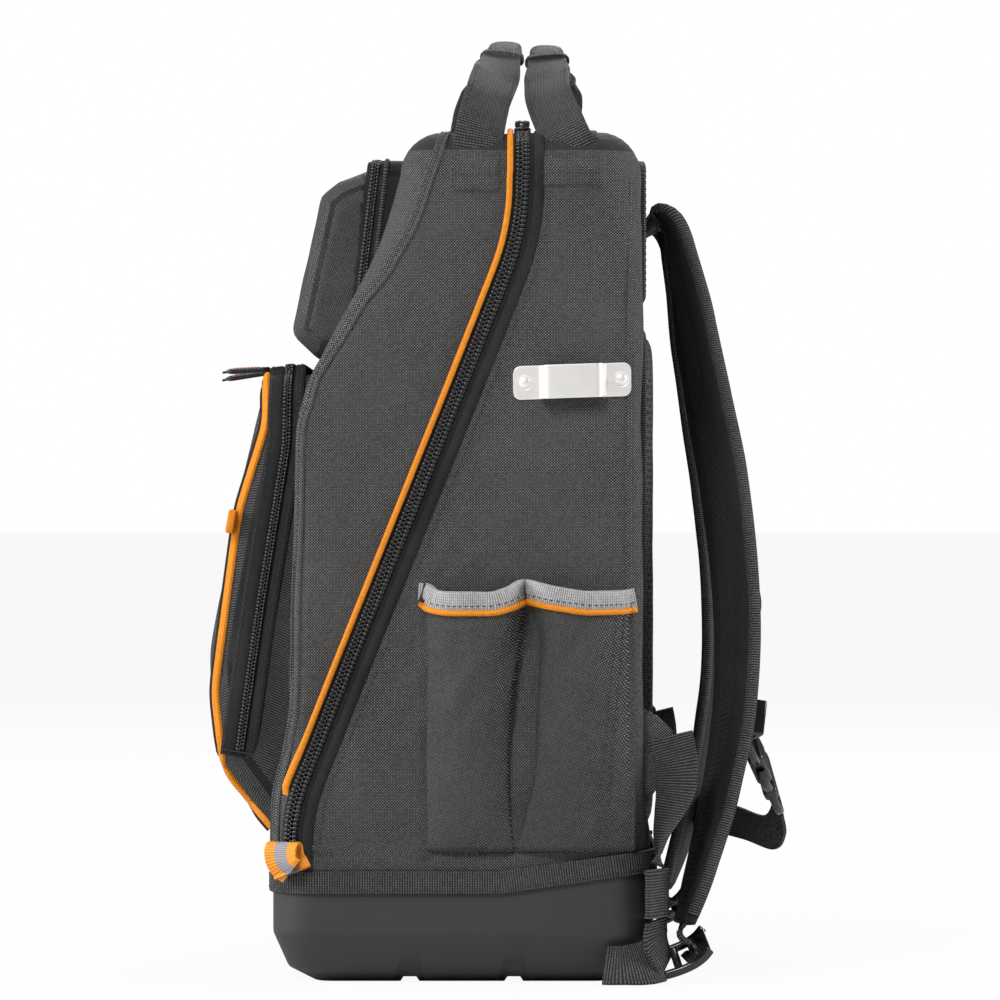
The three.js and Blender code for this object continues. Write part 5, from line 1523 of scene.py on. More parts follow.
for label, band in (("front", handle_band(front_rows, 22, 7, 1, 497.5)),
                    ("rear", handle_band(rear_rows, 44.5, 57.5, -1, 495.5))):
    middle = band.length / 2
    web = lofted(band, FLAT_WEB, step=2.5, ripple=handle_ripple)
    parts = [web]
    piece("handle_webbing_" + label, joined(parts), WEBBING, ["handle_" + label])
    wrap = lofted(band, oval(3.0, 24), middle - 76, middle + 76, 2.5, handle_ripple, grow=1.1)
    piece("handle_grip_" + label, wrap, BINDING)
    hem = [lofted(band, oval(3.0, 24), middle + side * 75 - 2.2, middle + side * 75 + 2.2, 1.1, grow=1.9)
           for side in (-1, 1)]
    piece("handle_hem_" + label, joined(hem), BINDING)
    for side in (-1, 1):
        for face in (-1, 1):
            all_stitches += [band.frame(middle + side * 70.5, across, face * (band.size(middle + side * 70.5)[1] / 2
                             + 1.25), turn=90, size=(1.1, 0.36, 0.34)) for across in (-7, -4.2, -1.4, 1.4, 4.2, 7)]
        for across in (-HANDLE_WIDTH / 2 + 2.6, HANDLE_WIDTH / 2 - 2.6):
            ends = sorted((middle + side * 98, middle + side * (middle - 26)))
            for face in (-0.95, 0.95):
                all_stitches += stitch_frames(band, across, face, *ends, pitch=3.2, length=2.1)
print("handle length", round(band.length))

# %% [markdown]
# ## The back
# The back pad is an air-mesh cushion. Spacer mesh is a net of small holes over a soft layer, so the material draws the
# net: a hexagon-like grid of holes from two crossed sine waves, with painted shade inside the holes and rounded threads
# between. The pad crowns between two sewn channels.

# %% spacer mesh
def make_net():
    tree, given, out = new_group("Net", [("Vector", VECTOR, None), ("Pitch", FLOAT, 0.0032)],
                                 [("Height", FLOAT), ("Hole", FLOAT)])
    scaled = put(tree, "ShaderNodeVectorMath", {"operation": "SCALE"}, i0=given["Vector"],
                 Scale=maths(tree, "DIVIDE", 1.0, given["Pitch"])).outputs[0]
    split = put(tree, "ShaderNodeSeparateXYZ", Vector=scaled).outputs
    row = maths(tree, "FLOOR", split["Y"])
    shifted = maths(tree, "MULTIPLY_ADD", maths(tree, "FLOORED_MODULO", row, 2.0), 0.5, split["X"])
    squares = []
    for socket, stretch in ((shifted, 2.3), (split["Y"], 2.0)):
        offset = maths(tree, "MULTIPLY_ADD", maths(tree, "FRACT", socket), stretch, -stretch / 2)
        squares.append(maths(tree, "MULTIPLY", offset, offset))
    reach = maths(tree, "SQRT", maths(tree, "ADD", squares[0], squares[1]))
    hole = put(tree, "ShaderNodeMapRange", i0=reach, i1=0.82, i2=0.52)
    thread = put(tree, "ShaderNodeMapRange", i0=reach, i1=0.5, i2=1.2)
    tree.links.new(hole.outputs[0], out["Hole"])
    tree.links.new(thread.outputs[0], out["Height"])
    return tree


NET = make_net()


def net_cloth(name, pitch, dark, light, turn=0.0, bump=0.0006):
    material, tree, shader = start_material(name, 0.7)
    net = put(tree, "ShaderNodeGroup", {"node_tree": NET}, Vector=cloth_uv(tree, turn), Pitch=pitch).outputs
    # Painted shade inside the holes: the colour is dark where the Hole mask is high.
    lit = maths(tree, "SUBTRACT", 1.0, net["Hole"])
    finish_cloth(tree, shader, dark, light, lit, net["Height"], bump)
    return material


MESH = net_cloth("air_mesh", 0.0034, grey(0.0012), grey(0.050))
STRAP_MESH = net_cloth("strap_air_mesh", 0.0030, grey(0.0008), grey(0.012))


# %% back pad and yoke
BACK = 0.931 * HALF_DEPTH


def panel_outline(half, foot, head, radius):
    """A rounded rectangle (x, z) as a function of a turn share, found along rays from its middle."""
    middle = (foot + head) / 2
    tall = (head - foot) / 2

    def point(share, inset):
        a = 2 * math.pi * share
        way = Vector((math.cos(a), math.sin(a)))
        low, high = 0.0, half + tall
        for _ in range(26):
            reach = (low + high) / 2
            x, z = abs(way.x * reach), abs(way.y * reach)
            over = Vector((max(x - (half - inset - radius), 0), max(z - (tall - inset - radius), 0))).length
            low, high = (reach, high) if over < radius else (low, reach)
        return Vector((way.x * low, middle + way.y * low))
    return point


def back_panel(half, foot, head, radius, depth, count, rows, crown):
    """A crowned panel on the back: rows go from its sewn rim to its middle."""
    outline = panel_outline(half, foot, head, radius)
    rim_points = [outline(k / count, 0) for k in range(count)]
    middle = Vector((0, (foot + head) / 2))

    def place(s, t):
        rim_point = rim_points[round(s * count) % count]
        share = 1 - (1 - t) ** 1.5 if t < 1 else 1
        flat = rim_point.lerp(middle, share)
        edge = (flat - rim_point).length
        y = BACK + 0.4 + depth * math.sqrt(clamp(1 - (1 - clamp(edge / 14)) ** 2)) * crown(flat.x, flat.y)
        return Vector((flat.x, y, flat.y)), (flat.x, flat.y)

    bm = close(draped(count, rows, place), caps=False)
    rim_edges = [e for e in bm.edges if e.is_boundary]
    bmesh.ops.holes_fill(bm, edges=rim_edges, sides=0)
    bmesh.ops.recalc_face_normals(bm, faces=bm.faces)
    return bm


def pad_crown(x, z):
    channel = 1 - 0.62 * max(bell(abs(x) - 44, 0, 9), bell(z - 150, 0, 8) * (abs(x) < 44),
                             bell(z - 250, 0, 8) * (abs(x) < 44))
    return channel * (0.93 + 0.07 * math.cos(x / 40)) + 0.03 * noise.noise(Vector((x / 18, z / 18, 1)))


pad = back_panel(128, 78, 340, 26, 8.4, 180, 60, pad_crown)
pad_piece = piece("back_cushion", pad, MESH, ["back_pad"], 60)


def flat_crown(x, z):
    return 1.0


class PanelRim:
    """The rim of a back panel as a line that carries binding and stitches."""

    def __init__(self, half, foot, head, radius, count=240):
        outline = panel_outline(half, foot, head, radius)
        flat = even_loop([outline(k / count, 0) for k in range(count)], 3.0)
        self.free = FreeRun([Vector((p.x, BACK + 0.8, p.y)) for p in flat + flat[:1]], lambda p: Vector((0, 1, 0)))


yoke_panel = back_panel(112, 359, 430, 8, 3.0, 140, 26, flat_crown)
piece("yoke_panel", yoke_panel, NYLON, ["yoke"], 60)
trim = []
for half, foot, head, radius in ((127, 79, 339, 25), (111, 360, 429, 8)):
    rim_run = PanelRim(half, foot, head, radius).free
    trim.append(sewn(rim_run, [(-3.4, -0.6), (-3.2, 2.2), (-1.5, 3.2), (1.5, 3.2), (3.2, 2.2), (3.4, -0.6)], step=3))
    all_stitches += stitch_frames(rim_run, 0.0, 3.2, pitch=3.4, length=2.2)
piece("back_bindings", joined(trim), BINDING)
print("back pad faces", len(pad_piece.data.polygons))

# %% [markdown]
# ## Shoulder straps
# A shoulder strap is foam between nylon on the outside and air mesh on the inside, with a ribbed
# binding over its edge. It is one padded loft whose thickness swells between its bound edges, and
# it curves away from the back and down to its buckle as in the photo.

# %% shoulder straps
STRAP_WIDTH, STRAP_THICK = 64.0, 11.0
shoulder_rows = [(0.29, 0.985, 0.900, 0.78, 0.45, 0), (0.29, 1.060, 0.912, 0.82, 0.80, 2),
                 (0.31, 1.140, 0.894, 0.88, 1, 6), (0.34, 1.195, 0.842, 0.95, 1, 10),
                 (0.39, 1.250, 0.770, 1, 1, 14), (0.46, 1.320, 0.680, 1, 1, 16), (0.54, 1.390, 0.590, 1, 1, 17),
                 (0.62, 1.440, 0.490, 1, 1, 16), (0.69, 1.455, 0.395, 1, 1, 15), (0.75, 1.425, 0.300, 0.97, 1, 14),
                 (0.80, 1.345, 0.210, 0.90, 1, 12), (0.84, 1.245, 0.125, 0.78, 0.9, 10),
                 (0.86, 1.165, 0.068, 0.62, 0.7, 6)]
shoulder = Band([(share_point(a, o, u), Vector((math.cos(math.radians(r)), math.sin(math.radians(r)), 0)),
                  w * STRAP_WIDTH, t * STRAP_THICK) for a, o, u, w, t, r in shoulder_rows])
PAD = [(math.copysign(abs(math.cos(t)) ** 0.55, math.cos(t)), math.copysign(abs(math.sin(t)) ** 0.8, math.sin(t)))
       for t in [2 * math.pi * (k + 0.5) / 32 for k in range(32)]]


def strap_ripple(a, b, along):
    lumps = 0.55 * noise.noise(Vector((a * 1.6, along / 26, 3.0)))
    waves = 0.5 * math.sin(along / 9.0) * bell(abs(a), 0.75, 0.3) * 0.35
    soft = lumps + waves
    return soft * (1 if b > 0 else -1) * (1 - a * a * 0.5)


def strap_skin(section, ripple, grow=0.0, step=3.0):
    """An open sheet over one face of the strap."""
    rows = round(shoulder.length / step)

    def place(s, t):
        i = round(s * (len(section) - 1))
        a, b = section[i]
        along = shoulder.length * t
        width, depth = shoulder.size(along)
        proud = b * (depth / 2 + grow) + ripple(a, b, along)
        return shoulder.at(along, a * (width / 2 + grow), proud)[0], (a * width / 2, along)

    return draped(len(section) - 1, rows, place)


pads = pair("shoulder_pad", lofted(shoulder, PAD, step=3, ripple=strap_ripple), DARK_NYLON,
            ["shoulder_strap"], 60)
INNER = [(math.cos(t), 0.98 * math.sin(t) ** 0.8) for t in [math.pi * (0.12 + 0.76 * k / 18) for k in range(19)]]
inner_face = strap_skin(INNER, lambda a, b, along: strap_ripple(a, b, along), grow=0.35)
bmesh.ops.recalc_face_normals(inner_face, faces=inner_face.faces)
pair("shoulder_mesh", inner_face, STRAP_MESH, sharp=60)


class StrapEdge:
    """The bound edge of the shoulder strap: outwards is away from the strap's middle line."""

    def __init__(self, side):
        self.side, self.length = side, shoulder.length

    def at(self, s, across=0.0, proud=0.0):
        width, _ = shoulder.size(s)
        point, forward, out = shoulder.at(s, self.side * width / 2)
        away = out.cross(forward) * self.side
        return point + out * across + away * proud, forward, away

    frame = Along.frame


EDGE = [(-3.0, -6.2), (-3.3, -3.0), (-2.7, -0.3), (-1.2, 0.9), (1.2, 0.9), (2.7, -0.3), (3.3, -3.0), (3.0, -6.2)]
edges = []
for side in (-1, 1):
    edge = StrapEdge(side)
    edges.append(sewn(edge, EDGE, 4, edge.length - 4, step=3, taper=0))
pair("shoulder_binding", joined(edges), BINDING, sharp=60)
for side in (-1, 1):
    edge = StrapEdge(side)
    for face in (-3.15, 3.15):
        frames = []
        for k in range(int(edge.length / 3.4) - 4):
            s = 8 + k * 3.4
            frames.append(edge.frame(s, face, -4.8, size=(1.15, 0.3, 0.36)))
        all_stitches += both_sides(frames)
print("shoulder strap length", round(shoulder.length))

# %% [markdown]
# ## Plastic fittings
# Moulded plastic has no sharp edge, so every block starts as a cube whose edges get a round bevel.
# Bars and rings are short bands with an oval section. A slot is the gap left between bars: cutting
# it out of blocks that overlap would break their shape.

# %% blocks and bars
def block(size, bevel=0.8, segments=3):
    bm = bmesh.new()
    bmesh.ops.create_cube(bm, size=1)
    bmesh.ops.scale(bm, vec=size, verts=bm.verts)
    bmesh.ops.bevel(bm, geom=bm.edges[:], offset=bevel, segments=segments, profile=0.5, affect="EDGES",
                    material=-1, offset_type="OFFSET")
    return bm


def moved(bm, matrix):
    bmesh.ops.transform(bm, matrix=matrix, verts=bm.verts)
    return bm


def at_place(x, y, z, turn=0.0, axis="Z"):
    return Matrix.Translation((x, y, z)) @ Matrix.Rotation(math.radians(turn), 4, axis)


def bar(points, wide, deep, across=(0, 0, 1), power=3.0, count=14, step=0.9):
    """A moulded bar through points. across is the way its width points."""
    stations = [(Vector(p), Vector(across).normalized(), wide, deep) for p in points]
    return lofted(Band(stations, 8), oval(power, count), step=step)


def strap_s(station):
    return shoulder.lengths[round(station * 12)]


# %% [markdown]
# ## Fittings on the shoulder straps
# A small elastic loop holds the strap's end, and a slider on each strap carries the chest strap.
# The near half of the chest buckle hangs from the right slider, and its webbing crosses to the left.

# %% elastic loops
FACE = -1  # the outer face of a shoulder strap is on the negative side of its band


def outer_face(s, across, proud):
    width, depth = shoulder.size(s)
    swell = (1 - min(1, abs(2 * across / width)) ** 3.6) ** 0.4
    return shoulder.at(s, across, FACE * (depth / 2 * swell + proud))


loop_s = strap_s(7.56)


def loop_place(s, t):
    angle = 2 * math.pi * t
    across = lerp(-20, 20, s)
    rise = 1.2 * math.sin(angle) + 1.4 * bell(s, 0.72, 0.2)
    return outer_face(loop_s + 6.0 * math.cos(angle), across, 1.0 + rise)[0], (across, 6 * angle)


elastic = close(draped(24, 12, loop_place))
pair("elastic_loop", elastic, BINDING, ["strap_loop"])


# %% chest sliders
def slider_on(station):
    s = strap_s(station)
    depth = shoulder.size(s)[1]
    point, forward, out = shoulder.at(s, 0, FACE * (depth / 2 + 4.2))
    side = out.cross(forward)
    frame = Matrix.Translation(point) @ Matrix((side, forward, side.cross(forward))).transposed().to_4x4()
    return point, side, frame


def slider_body():
    parts = [moved(block((4.2, 19, 7.4), 1.3), at_place(x, 0, 0)) for x in (-12.8, 12.8)]
    parts += [moved(block((26, 4.4, 3.2), 1.1), at_place(0, y, 2.3)) for y in (-7.2, 7.2)]
    parts += [moved(block((26, 3.2, 2.6), 0.9), at_place(0, y, -2.3)) for y in (-7.6, 0, 7.6)]
    parts.append(moved(block((26, 12, 1.6), 0.6), at_place(0, 0, 3.0)))
    return joined(parts)


right_place, right_side, right_frame = slider_on(8.93)
left_place, left_side, left_frame = slider_on(10.4)
piece("chest_slider_body_right", moved(slider_body(), right_frame), BUCKLE, ["chest_slider_right"])
left_slider = moved(slider_body(), left_frame)
bmesh.ops.scale(left_slider, vec=(-1, 1, 1), verts=left_slider.verts)
bmesh.ops.reverse_faces(left_slider, faces=left_slider.faces)
piece("chest_slider_body_left", left_slider, BUCKLE, ["chest_slider_left"])

# %% chest buckle
buckle_start = right_place - right_side * 15
buckle_end = Vector((0.345 * BASE_HALF_WIDTH, 1.690 * HALF_DEPTH, 0.207 * BAG_TOP))
along_buckle = (buckle_end - buckle_start).normalized()
buckle_length = (buckle_end - buckle_start).length
up_buckle = Vector((0.25, -0.35, 0.9))
side_buckle = up_buckle.cross(along_buckle).normalized()
up_buckle = along_buckle.cross(side_buckle)
buckle_frame = Matrix.Translation((buckle_start + buckle_end) / 2) @ \
    Matrix((along_buckle, side_buckle, up_buckle)).transposed().to_4x4()
half_length = buckle_length / 2


def side_arm(side):
    """A springy arm of the male half, bowed out so that fingers can squeeze it."""
    return bar([(half_length * a, 0, side * b) for a, b in
                ((0.44, 7.0), (0.36, 10.8), (0.18, 13.4), (0.02, 14.6), (-0.12, 14.2), (-0.20, 12.0))],
               5.2, 4.2, across=(0, 1, 0), count=16)


def on_buckle(share, across=0.0, out=0.0):
    return at_place(half_length * share, out, across)


def cross_bar(share, half, wide=4.0, deep=4.2):
    return bar([(half_length * share, 0, z) for z in (-half, 0, half)], wide, deep, across=(1, 0, 0), power=2.4)


def side_rail(side, shares):
    return bar([(half_length * a, 0, side * b) for a, b in shares], 4.6, 4.4, across=(0, 1, 0), count=14)


housing = block((half_length * 0.62, 8.6, 25), 2.4, 4)
for vert in housing.verts:
    vert.co.z *= 1 - 0.16 * ease(0.5 - vert.co.x / (half_length * 0.62))
shoulder_block = block((half_length * 0.24, 8.0, 28.5), 2.2, 4)
buckle = [moved(housing, on_buckle(-0.16)), moved(shoulder_block, on_buckle(0.42)),
          moved(block((half_length * 0.9, 3.0, 8), 1.0), on_buckle(0.1)), side_arm(1), side_arm(-1)]
buckle += [side_rail(side, ((-0.40, 10.0), (-0.62, 11.6), (-0.84, 11.0), (-0.95, 9.4))) for side in (-1, 1)]
buckle += [cross_bar(-0.60, 11.0, 3.4, 4.0), cross_bar(-0.93, 10.0, 4.2, 4.2)]
buckle += [side_rail(side, ((0.44, 12.2), (0.62, 13.0), (0.84, 12.6), (0.97, 10.8))) for side in (-1, 1)]
buckle += [cross_bar(0.70, 12.6, 3.8, 3.2), cross_bar(0.96, 11.2, 4.6, 4.4)]
buckle += [moved(block((1.4, 1.0, 13), 0.45), on_buckle(a, 0, side * 4.1)) for a in (-0.30, -0.22, -0.14)
           for side in (-1, 1)]
piece("chest_buckle_body", moved(joined(buckle), buckle_frame), BUCKLE, ["chest_buckle"])

# %% chest webbing
web_way = Vector((0.1, -0.3, 1)).normalized()
chest_stations = [(share_point(a, o, u), web_way, 20, 2.0) for a, o, u in
                  ((0.330, 1.697, 0.203), (0.150, 1.725, 0.176), (-0.200, 1.700, 0.150), (-0.520, 1.560, 0.155))]
left_seat = left_place - left_side * 14.6
chest_stations.append((Vector((-left_seat.x, left_seat.y, left_seat.z)), web_way, 20, 2.0))
chest_band = Band(chest_stations, 14)
web_parts = [lofted(chest_band, FLAT_WEB, step=2.5)]
near_web = Band([(buckle_start + along_buckle * t * half_length, up_buckle, 20, 2.0) for t in (0.03, 0.12, 0.2)], 4)
web_parts.append(lofted(near_web, FLAT_WEB, step=1.5))
piece("chest_webbing", joined(web_parts), WEBBING, ["chest_web"])
print("chest webbing length", round(chest_band.length), "buckle", round(buckle_length))

# %% [markdown]
# ## Webbing at the foot of the straps
# A webbing comes out of a cloth wing at the bag's corner, turns edge-on, runs through a sewn
# sleeve and down to the ladder lock. Its tail passes the lock and turns forward.

# %% lower webbing
def web_rows(rows, width=24.0):
    return Band([(share_point(a, o, u), turned(turn, rise), width, 2.0) for a, o, u, turn, rise in rows], 12)


def web_ripple(a, b, along):
    return 0.35 * noise.noise(Vector((a * 0.8, along / 14, 5.5)))


lower_band = web_rows([(0.933, 1.085, 0.290, 8, 0), (0.960, 1.115, 0.257, 26, 0), (0.972, 1.112, 0.228, 32, 0),
                       (0.986, 1.075, 0.200, 55, 0), (0.997, 1.037, 0.174, 76, 0), (1.004, 1.024, 0.152, 90, 0),
                       (1.009, 1.018, 0.1395, 108, 0)])
lock_band = web_rows([(1.004, 1.010, 0.0755, 116, 0), (0.995, 1.006, 0.052, 122, 0), (0.965, 1.058, 0.020, 112, 0)])
tail_band = web_rows([(1.002, 1.020, 0.0290, 90, -66), (1.035, 0.930, 0.0250, 90, -54),
                      (1.052, 0.830, 0.0242, 90, -50), (1.045, 0.735, 0.0242, 90, -50)])
pair("lower_webbing", lofted(lower_band, FLAT_WEB, step=2, ripple=web_ripple), WEBBING, ["lower_web"])
pair("tail_webbing", joined([lofted(lock_band, FLAT_WEB, step=2, ripple=web_ripple),
                             lofted(tail_band, FLAT_WEB, step=2, ripple=web_ripple)]),
     WEBBING, ["web_tail"])
for band in (lower_band, lock_band, tail_band):
    for across in (-9.6, 9.6):
        right = stitch_frames(band, across, 0.9, pitch=2.6, length=1.7, wide=0.26)
        right += stitch_frames(band, across, -0.9, pitch=2.6, length=1.7, wide=0.26)
        all_stitches += both_sides(right)

sleeve_place, sleeve_way = Vector((175.9, 100.8, 47.4)), turned(114)
sleeve = Band([(sleeve_place + Vector((0, 0, z)), sleeve_way, 27, 5.0) for z in (-12, -4, 4, 12)], 6)
SLEEVE = [(math.copysign(abs(math.cos(t)) ** 0.5, math.cos(t)), math.copysign(abs(math.sin(t)) ** 0.7, math.sin(t)))
          for t in [2 * math.pi * k / 32 for k in range(32)]]
sleeve_parts = [lofted(sleeve, SLEEVE, step=1.5, ripple=lambda a, b, s: 0.25 * noise.noise(Vector((a, s / 5, 8))))]
for z in (-11.4, 11.4):
    hem = Band([(sleeve_place + Vector((0, 0, z + d)), sleeve_way, 27.8, 6.0) for d in (-1.0, 0, 1.0)], 3)
    sleeve_parts.append(lofted(hem, SLEEVE, step=0.8))
fold = Band([(sleeve_place + sleeve_way * -6 + Vector((0, 0, z)), sleeve_way, 3.0, 6.2) for z in (-11, 0, 11)], 5)
sleeve_parts.append(lofted(fold, SLEEVE, step=1.5))
pair("web_sleeve", joined(sleeve_parts), WEBBING, ["web_keeper"])


# %% wings
def wing_mesh():
    bm = bmesh.new()
    cloth = bm.loops.layers.uv.new("Cloth")
    corners = [(88, 142.5), (88, 97.5), (95.5, 97.5), (101, 102), (109.5, 113), (110, 122), (109.5, 131), (103, 138),
               (95, 142.5)]
    face = bm.faces.new([bm.verts.new((157.2, y, z)) for y, z in corners])
    grown = bmesh.ops.extrude_face_region(bm, geom=[face])["geom"]
    bmesh.ops.translate(bm, vec=(2.6, 0, 0), verts=[g for g in grown if isinstance(g, bmesh.types.BMVert)])
    bmesh.ops.bevel(bm, geom=bm.edges[:], offset=0.8, segments=2, profile=0.5, affect="EDGES", material=-1,
                    offset_type="OFFSET")
    bmesh.ops.recalc_face_normals(bm, faces=bm.faces)
    for f in bm.faces:
        for loop in f.loops:
            loop[cloth].uv = (loop.vert.co.y * MM, loop.vert.co.z * MM)
    return bm


pair("cloth_wing", wing_mesh(), NYLON, ["strap_wing"])

# %% ladder locks
LOCK_TILT, LOCK_ROLL, LOCK_PLACE = 18.0, 20.0, (0.892 * BASE_HALF_WIDTH, 1.115 * HALF_DEPTH, 11.9)
lock_frame = at_place(*LOCK_PLACE, LOCK_TILT, "X") @ Matrix.Rotation(math.radians(LOCK_ROLL), 4, "Y")


def lock_body():
    parts = []
    for x in (-14.2, 14.2):
        parts.append(bar([(x, -14.0, -0.2), (x, -9, -0.6), (x, 0, -0.8), (x, 8, 0.1), (x, 14, 2.2), (x, 18.4, 5.2)],
                         3.8, 4.6, across=(1, 0, 0)))
    for y, z, deep in ((-12.3, -0.3, 4.0), (0.2, -0.8, 3.4)):
        parts.append(bar([(-14.5, y, z), (0, y, z), (14.5, y, z)], 4.4, deep, across=(0, 1, 0), power=2.3))
    lever = block((31.5, 11, 2.6), 1.1, 3)
    for vert in lever.verts:
        vert.co.z += 0.035 * (vert.co.y + 5.5) ** 2
    parts.append(moved(lever, at_place(0, 13.4, 1.0)))
    for k in range(3):
        parts.append(moved(block((24, 0.9, 0.8), 0.35, 2), at_place(0, 12.2 + 2.2 * k, 3.0 + 0.75 * k)))
    return joined(parts)


LOCK_PLASTIC = moulded("lock_plastic", grey(0.012), grey(0.018), 0.24, bump=0.00001, coat=0.35)
pair("lock_frame", moved(lock_body(), lock_frame), LOCK_PLASTIC, ["ladder_lock"])
# A short web leaves the pad's end and passes down to the lock
end_point, end_forward, _ = shoulder.at(shoulder.length - 3)
hang = Band([(end_point, Vector((1, 0, 0)), 26, 2.2), (end_point + end_forward * 9, Vector((1, 0, 0)), 25, 2.2),
             (Vector((154.5, 121, 17)), Vector((0.97, 0, -0.2)), 24, 2.2),
             (Vector((154.9, 116.5, 10.5)), Vector((0.95, 0, -0.3)), 24, 2.2)], 10)
pair("strap_end_webbing", lofted(hang, FLAT_WEB, step=2), WEBBING)
print("lower webbing", round(lower_band.length), "tail", round(tail_band.length))

# %% [markdown]
# ## Trims on the right side
# The tape clip is one strip of brushed steel, bent into a low bridge and riveted at both ends. Its
# profile is a line with small bend radii, and its corners are rounded by narrowing the strip.

# %% tape clip
CLIP_START, CLIP_END, CLIP_MIDDLE, CLIP_HEIGHT, CLIP_TILT = 26.0, 87.5, 313.5, 17.5, 2.0
clip_length = CLIP_END - CLIP_START
front_leg, rear_leg = clip_length * 0.235, clip_length * 0.235 * 0.93
clip_profile = even(rounded([(0, 0.3, 0), (front_leg, 0.3, 1.6), (front_leg + 3.6, 7.3, 2.0),
                             (clip_length - rear_leg - 3.6, 7.3, 2.0), (clip_length - rear_leg, 0.3, 1.6),
                             (clip_length, 0.3, 0)], 6), 0.55)


def clip_half(u):
    near = min(u, clip_length - u)
    return CLIP_HEIGHT / 2 - 4 + math.sqrt(max(0.0, 16 - (4 - near) ** 2)) if near < 4 else CLIP_HEIGHT / 2


def clip_place(s, t):
    p = clip_profile[round(s * (len(clip_profile) - 1))]
    z = lerp(-1, 1, t) * clip_half(p.x)
    tilt = math.radians(CLIP_TILT)
    y = CLIP_START + p.x * math.cos(tilt) - z * math.sin(tilt) * 0.3
    height = CLIP_MIDDLE + z + (p.x - clip_length / 2) * math.sin(tilt)
    return Vector((side_at(height) + 0.3 + p.y, y, height)), (p.x, z)


def rivet_mesh(share):
    profile = [(0.01, 1.75), (1.1, 1.68), (2.0, 1.42), (2.7, 1.0), (3.05, 0.55), (3.15, 0.2), (3.55, 0.18),
               (3.75, 0.35), (4.05, 0.35), (4.25, 0.1), (4.3, -0.6)]
    bm = bmesh.new()
    verts = [bm.verts.new((r, 0, z)) for r, z in profile]
    edges = [bm.edges.new(p) for p in zip(verts, verts[1:])]
    bmesh.ops.spin(bm, geom=verts + edges, cent=(0, 0, 0), axis=(0, 0, 1), angle=2 * math.pi, steps=36,
                   use_merge=True)
    bmesh.ops.remove_doubles(bm, verts=bm.verts, dist=0.02)
    holes = [e for e in bm.edges if e.is_boundary]
    bmesh.ops.holes_fill(bm, edges=holes, sides=0)
    bmesh.ops.recalc_face_normals(bm, faces=bm.faces)
    u = clip_length * share
    height = CLIP_MIDDLE + (u - clip_length / 2) * math.sin(math.radians(CLIP_TILT))
    return moved(bm, Matrix.Translation((side_at(height) + 1.9, CLIP_START + u, height)) @
                 Matrix.Rotation(math.pi / 2, 4, "Y"))


clip = piece("steel_clip", draped(len(clip_profile) - 1, 14, clip_place), STEEL, ["tape_clip"], 30)
plate = clip.modifiers.new("plate", "SOLIDIFY")
plate.thickness, plate.offset = 0.0015, 1
edge_round = clip.modifiers.new("edge", "BEVEL")
edge_round.width, edge_round.segments, edge_round.limit_method = 0.00035, 2, "ANGLE"
piece("clip_rivet_head_front", rivet_mesh(0.10), STEEL, ["clip_rivet_front"], 50)
piece("clip_rivet_head_rear", rivet_mesh(0.915), STEEL, ["clip_rivet_rear"], 50)
print("clip", round(clip_length, 1), "profile points", len(clip_profile))

# %% [markdown]
# ## Ribbon loops, flag and pulls
# A ribbon loop at each lower end of the main zip is a short woven ribbon, folded over and sewn in
# at its foot. Its stripe is drawn in the material from the ribbon's own width.

# %% striped ribbon
def striped_ribbon():
    """Orange ribbon with one grey stripe along its middle."""
    material, tree, shader = start_material("striped_ribbon", 0.6)
    uv = cloth_uv(tree)
    ribs = put(tree, "ShaderNodeGroup", {"node_tree": RIBS}, Vector=uv, Pitch=0.0011, Lean=0.0, Yarn=0.0016).outputs
    across = put(tree, "ShaderNodeSeparateXYZ", Vector=uv).outputs["X"]
    off = maths(tree, "ABSOLUTE", across)
    stripe = put(tree, "ShaderNodeMapRange", i0=off, i1=0.0037, i2=0.0033).outputs[0]
    # Rib height paints a highlight on each rib crown and shade in the grooves, in both the orange and the stripe.
    lit = maths(tree, "POWER", ribs["Height"], 0.8)
    orange = mix_colour(tree, lit, (0.62, 0.17, 0.006, 1), (0.98, 0.40, 0.022, 1))
    silver = mix_colour(tree, lit, grey(0.12, -0.05), (0.45, 0.41, 0.47, 1))
    tree.links.new(mix_colour(tree, stripe, orange, silver), shader.inputs["Base Color"])
    raised = put(tree, "ShaderNodeBump", Strength=1.0, Distance=0.00014, Height=ribs["Height"])
    tree.links.new(raised.outputs[0], shader.inputs["Normal"])
    return material


RIBBON = striped_ribbon()
turn28 = math.radians(28)
ribbon_way = Vector((math.sin(turn28), math.cos(turn28), 0))
ribbon_out = Vector((math.cos(turn28), -math.sin(turn28), 0))
ribbon_middle = Vector((176.7, -92.8, 67.0))
ribbon_rows = [(0.6, -8.6, 5.4), (-1.6, -6.4, 3.4), (-3.0, -3.0, 1.2), (-3.5, 1.5, 0.2), (-2.6, 5.2, 0),
               (0.0, 6.7, 0), (2.7, 5.4, 0), (3.9, 2.0, 0.0), (3.7, -2.0, 0.6), (2.8, -5.2, 2.2), (1.4, -7.8, 5.0)]
ribbon_band = Band([(ribbon_middle + ribbon_out * o + Vector((0, 0, z)) + ribbon_way * shift, ribbon_way,
                     18.5 + 0.3 * shift, 1.3) for o, z, shift in ribbon_rows], 8)


def ribbon_mesh():
    count, rows = 20, 72

    def place(s, t):
        a = lerp(-1, 1, s)
        along = ribbon_band.length * t
        width, _ = ribbon_band.size(along)
        sag = 0.5 * noise.noise(Vector((a * 1.2, t * 5, 3))) + 0.5 * a * a * bell(t, 0.72, 0.2)
        return ribbon_band.at(along, a * width / 2, sag)[0], (a * 9, along)
    return draped(count, rows, place)


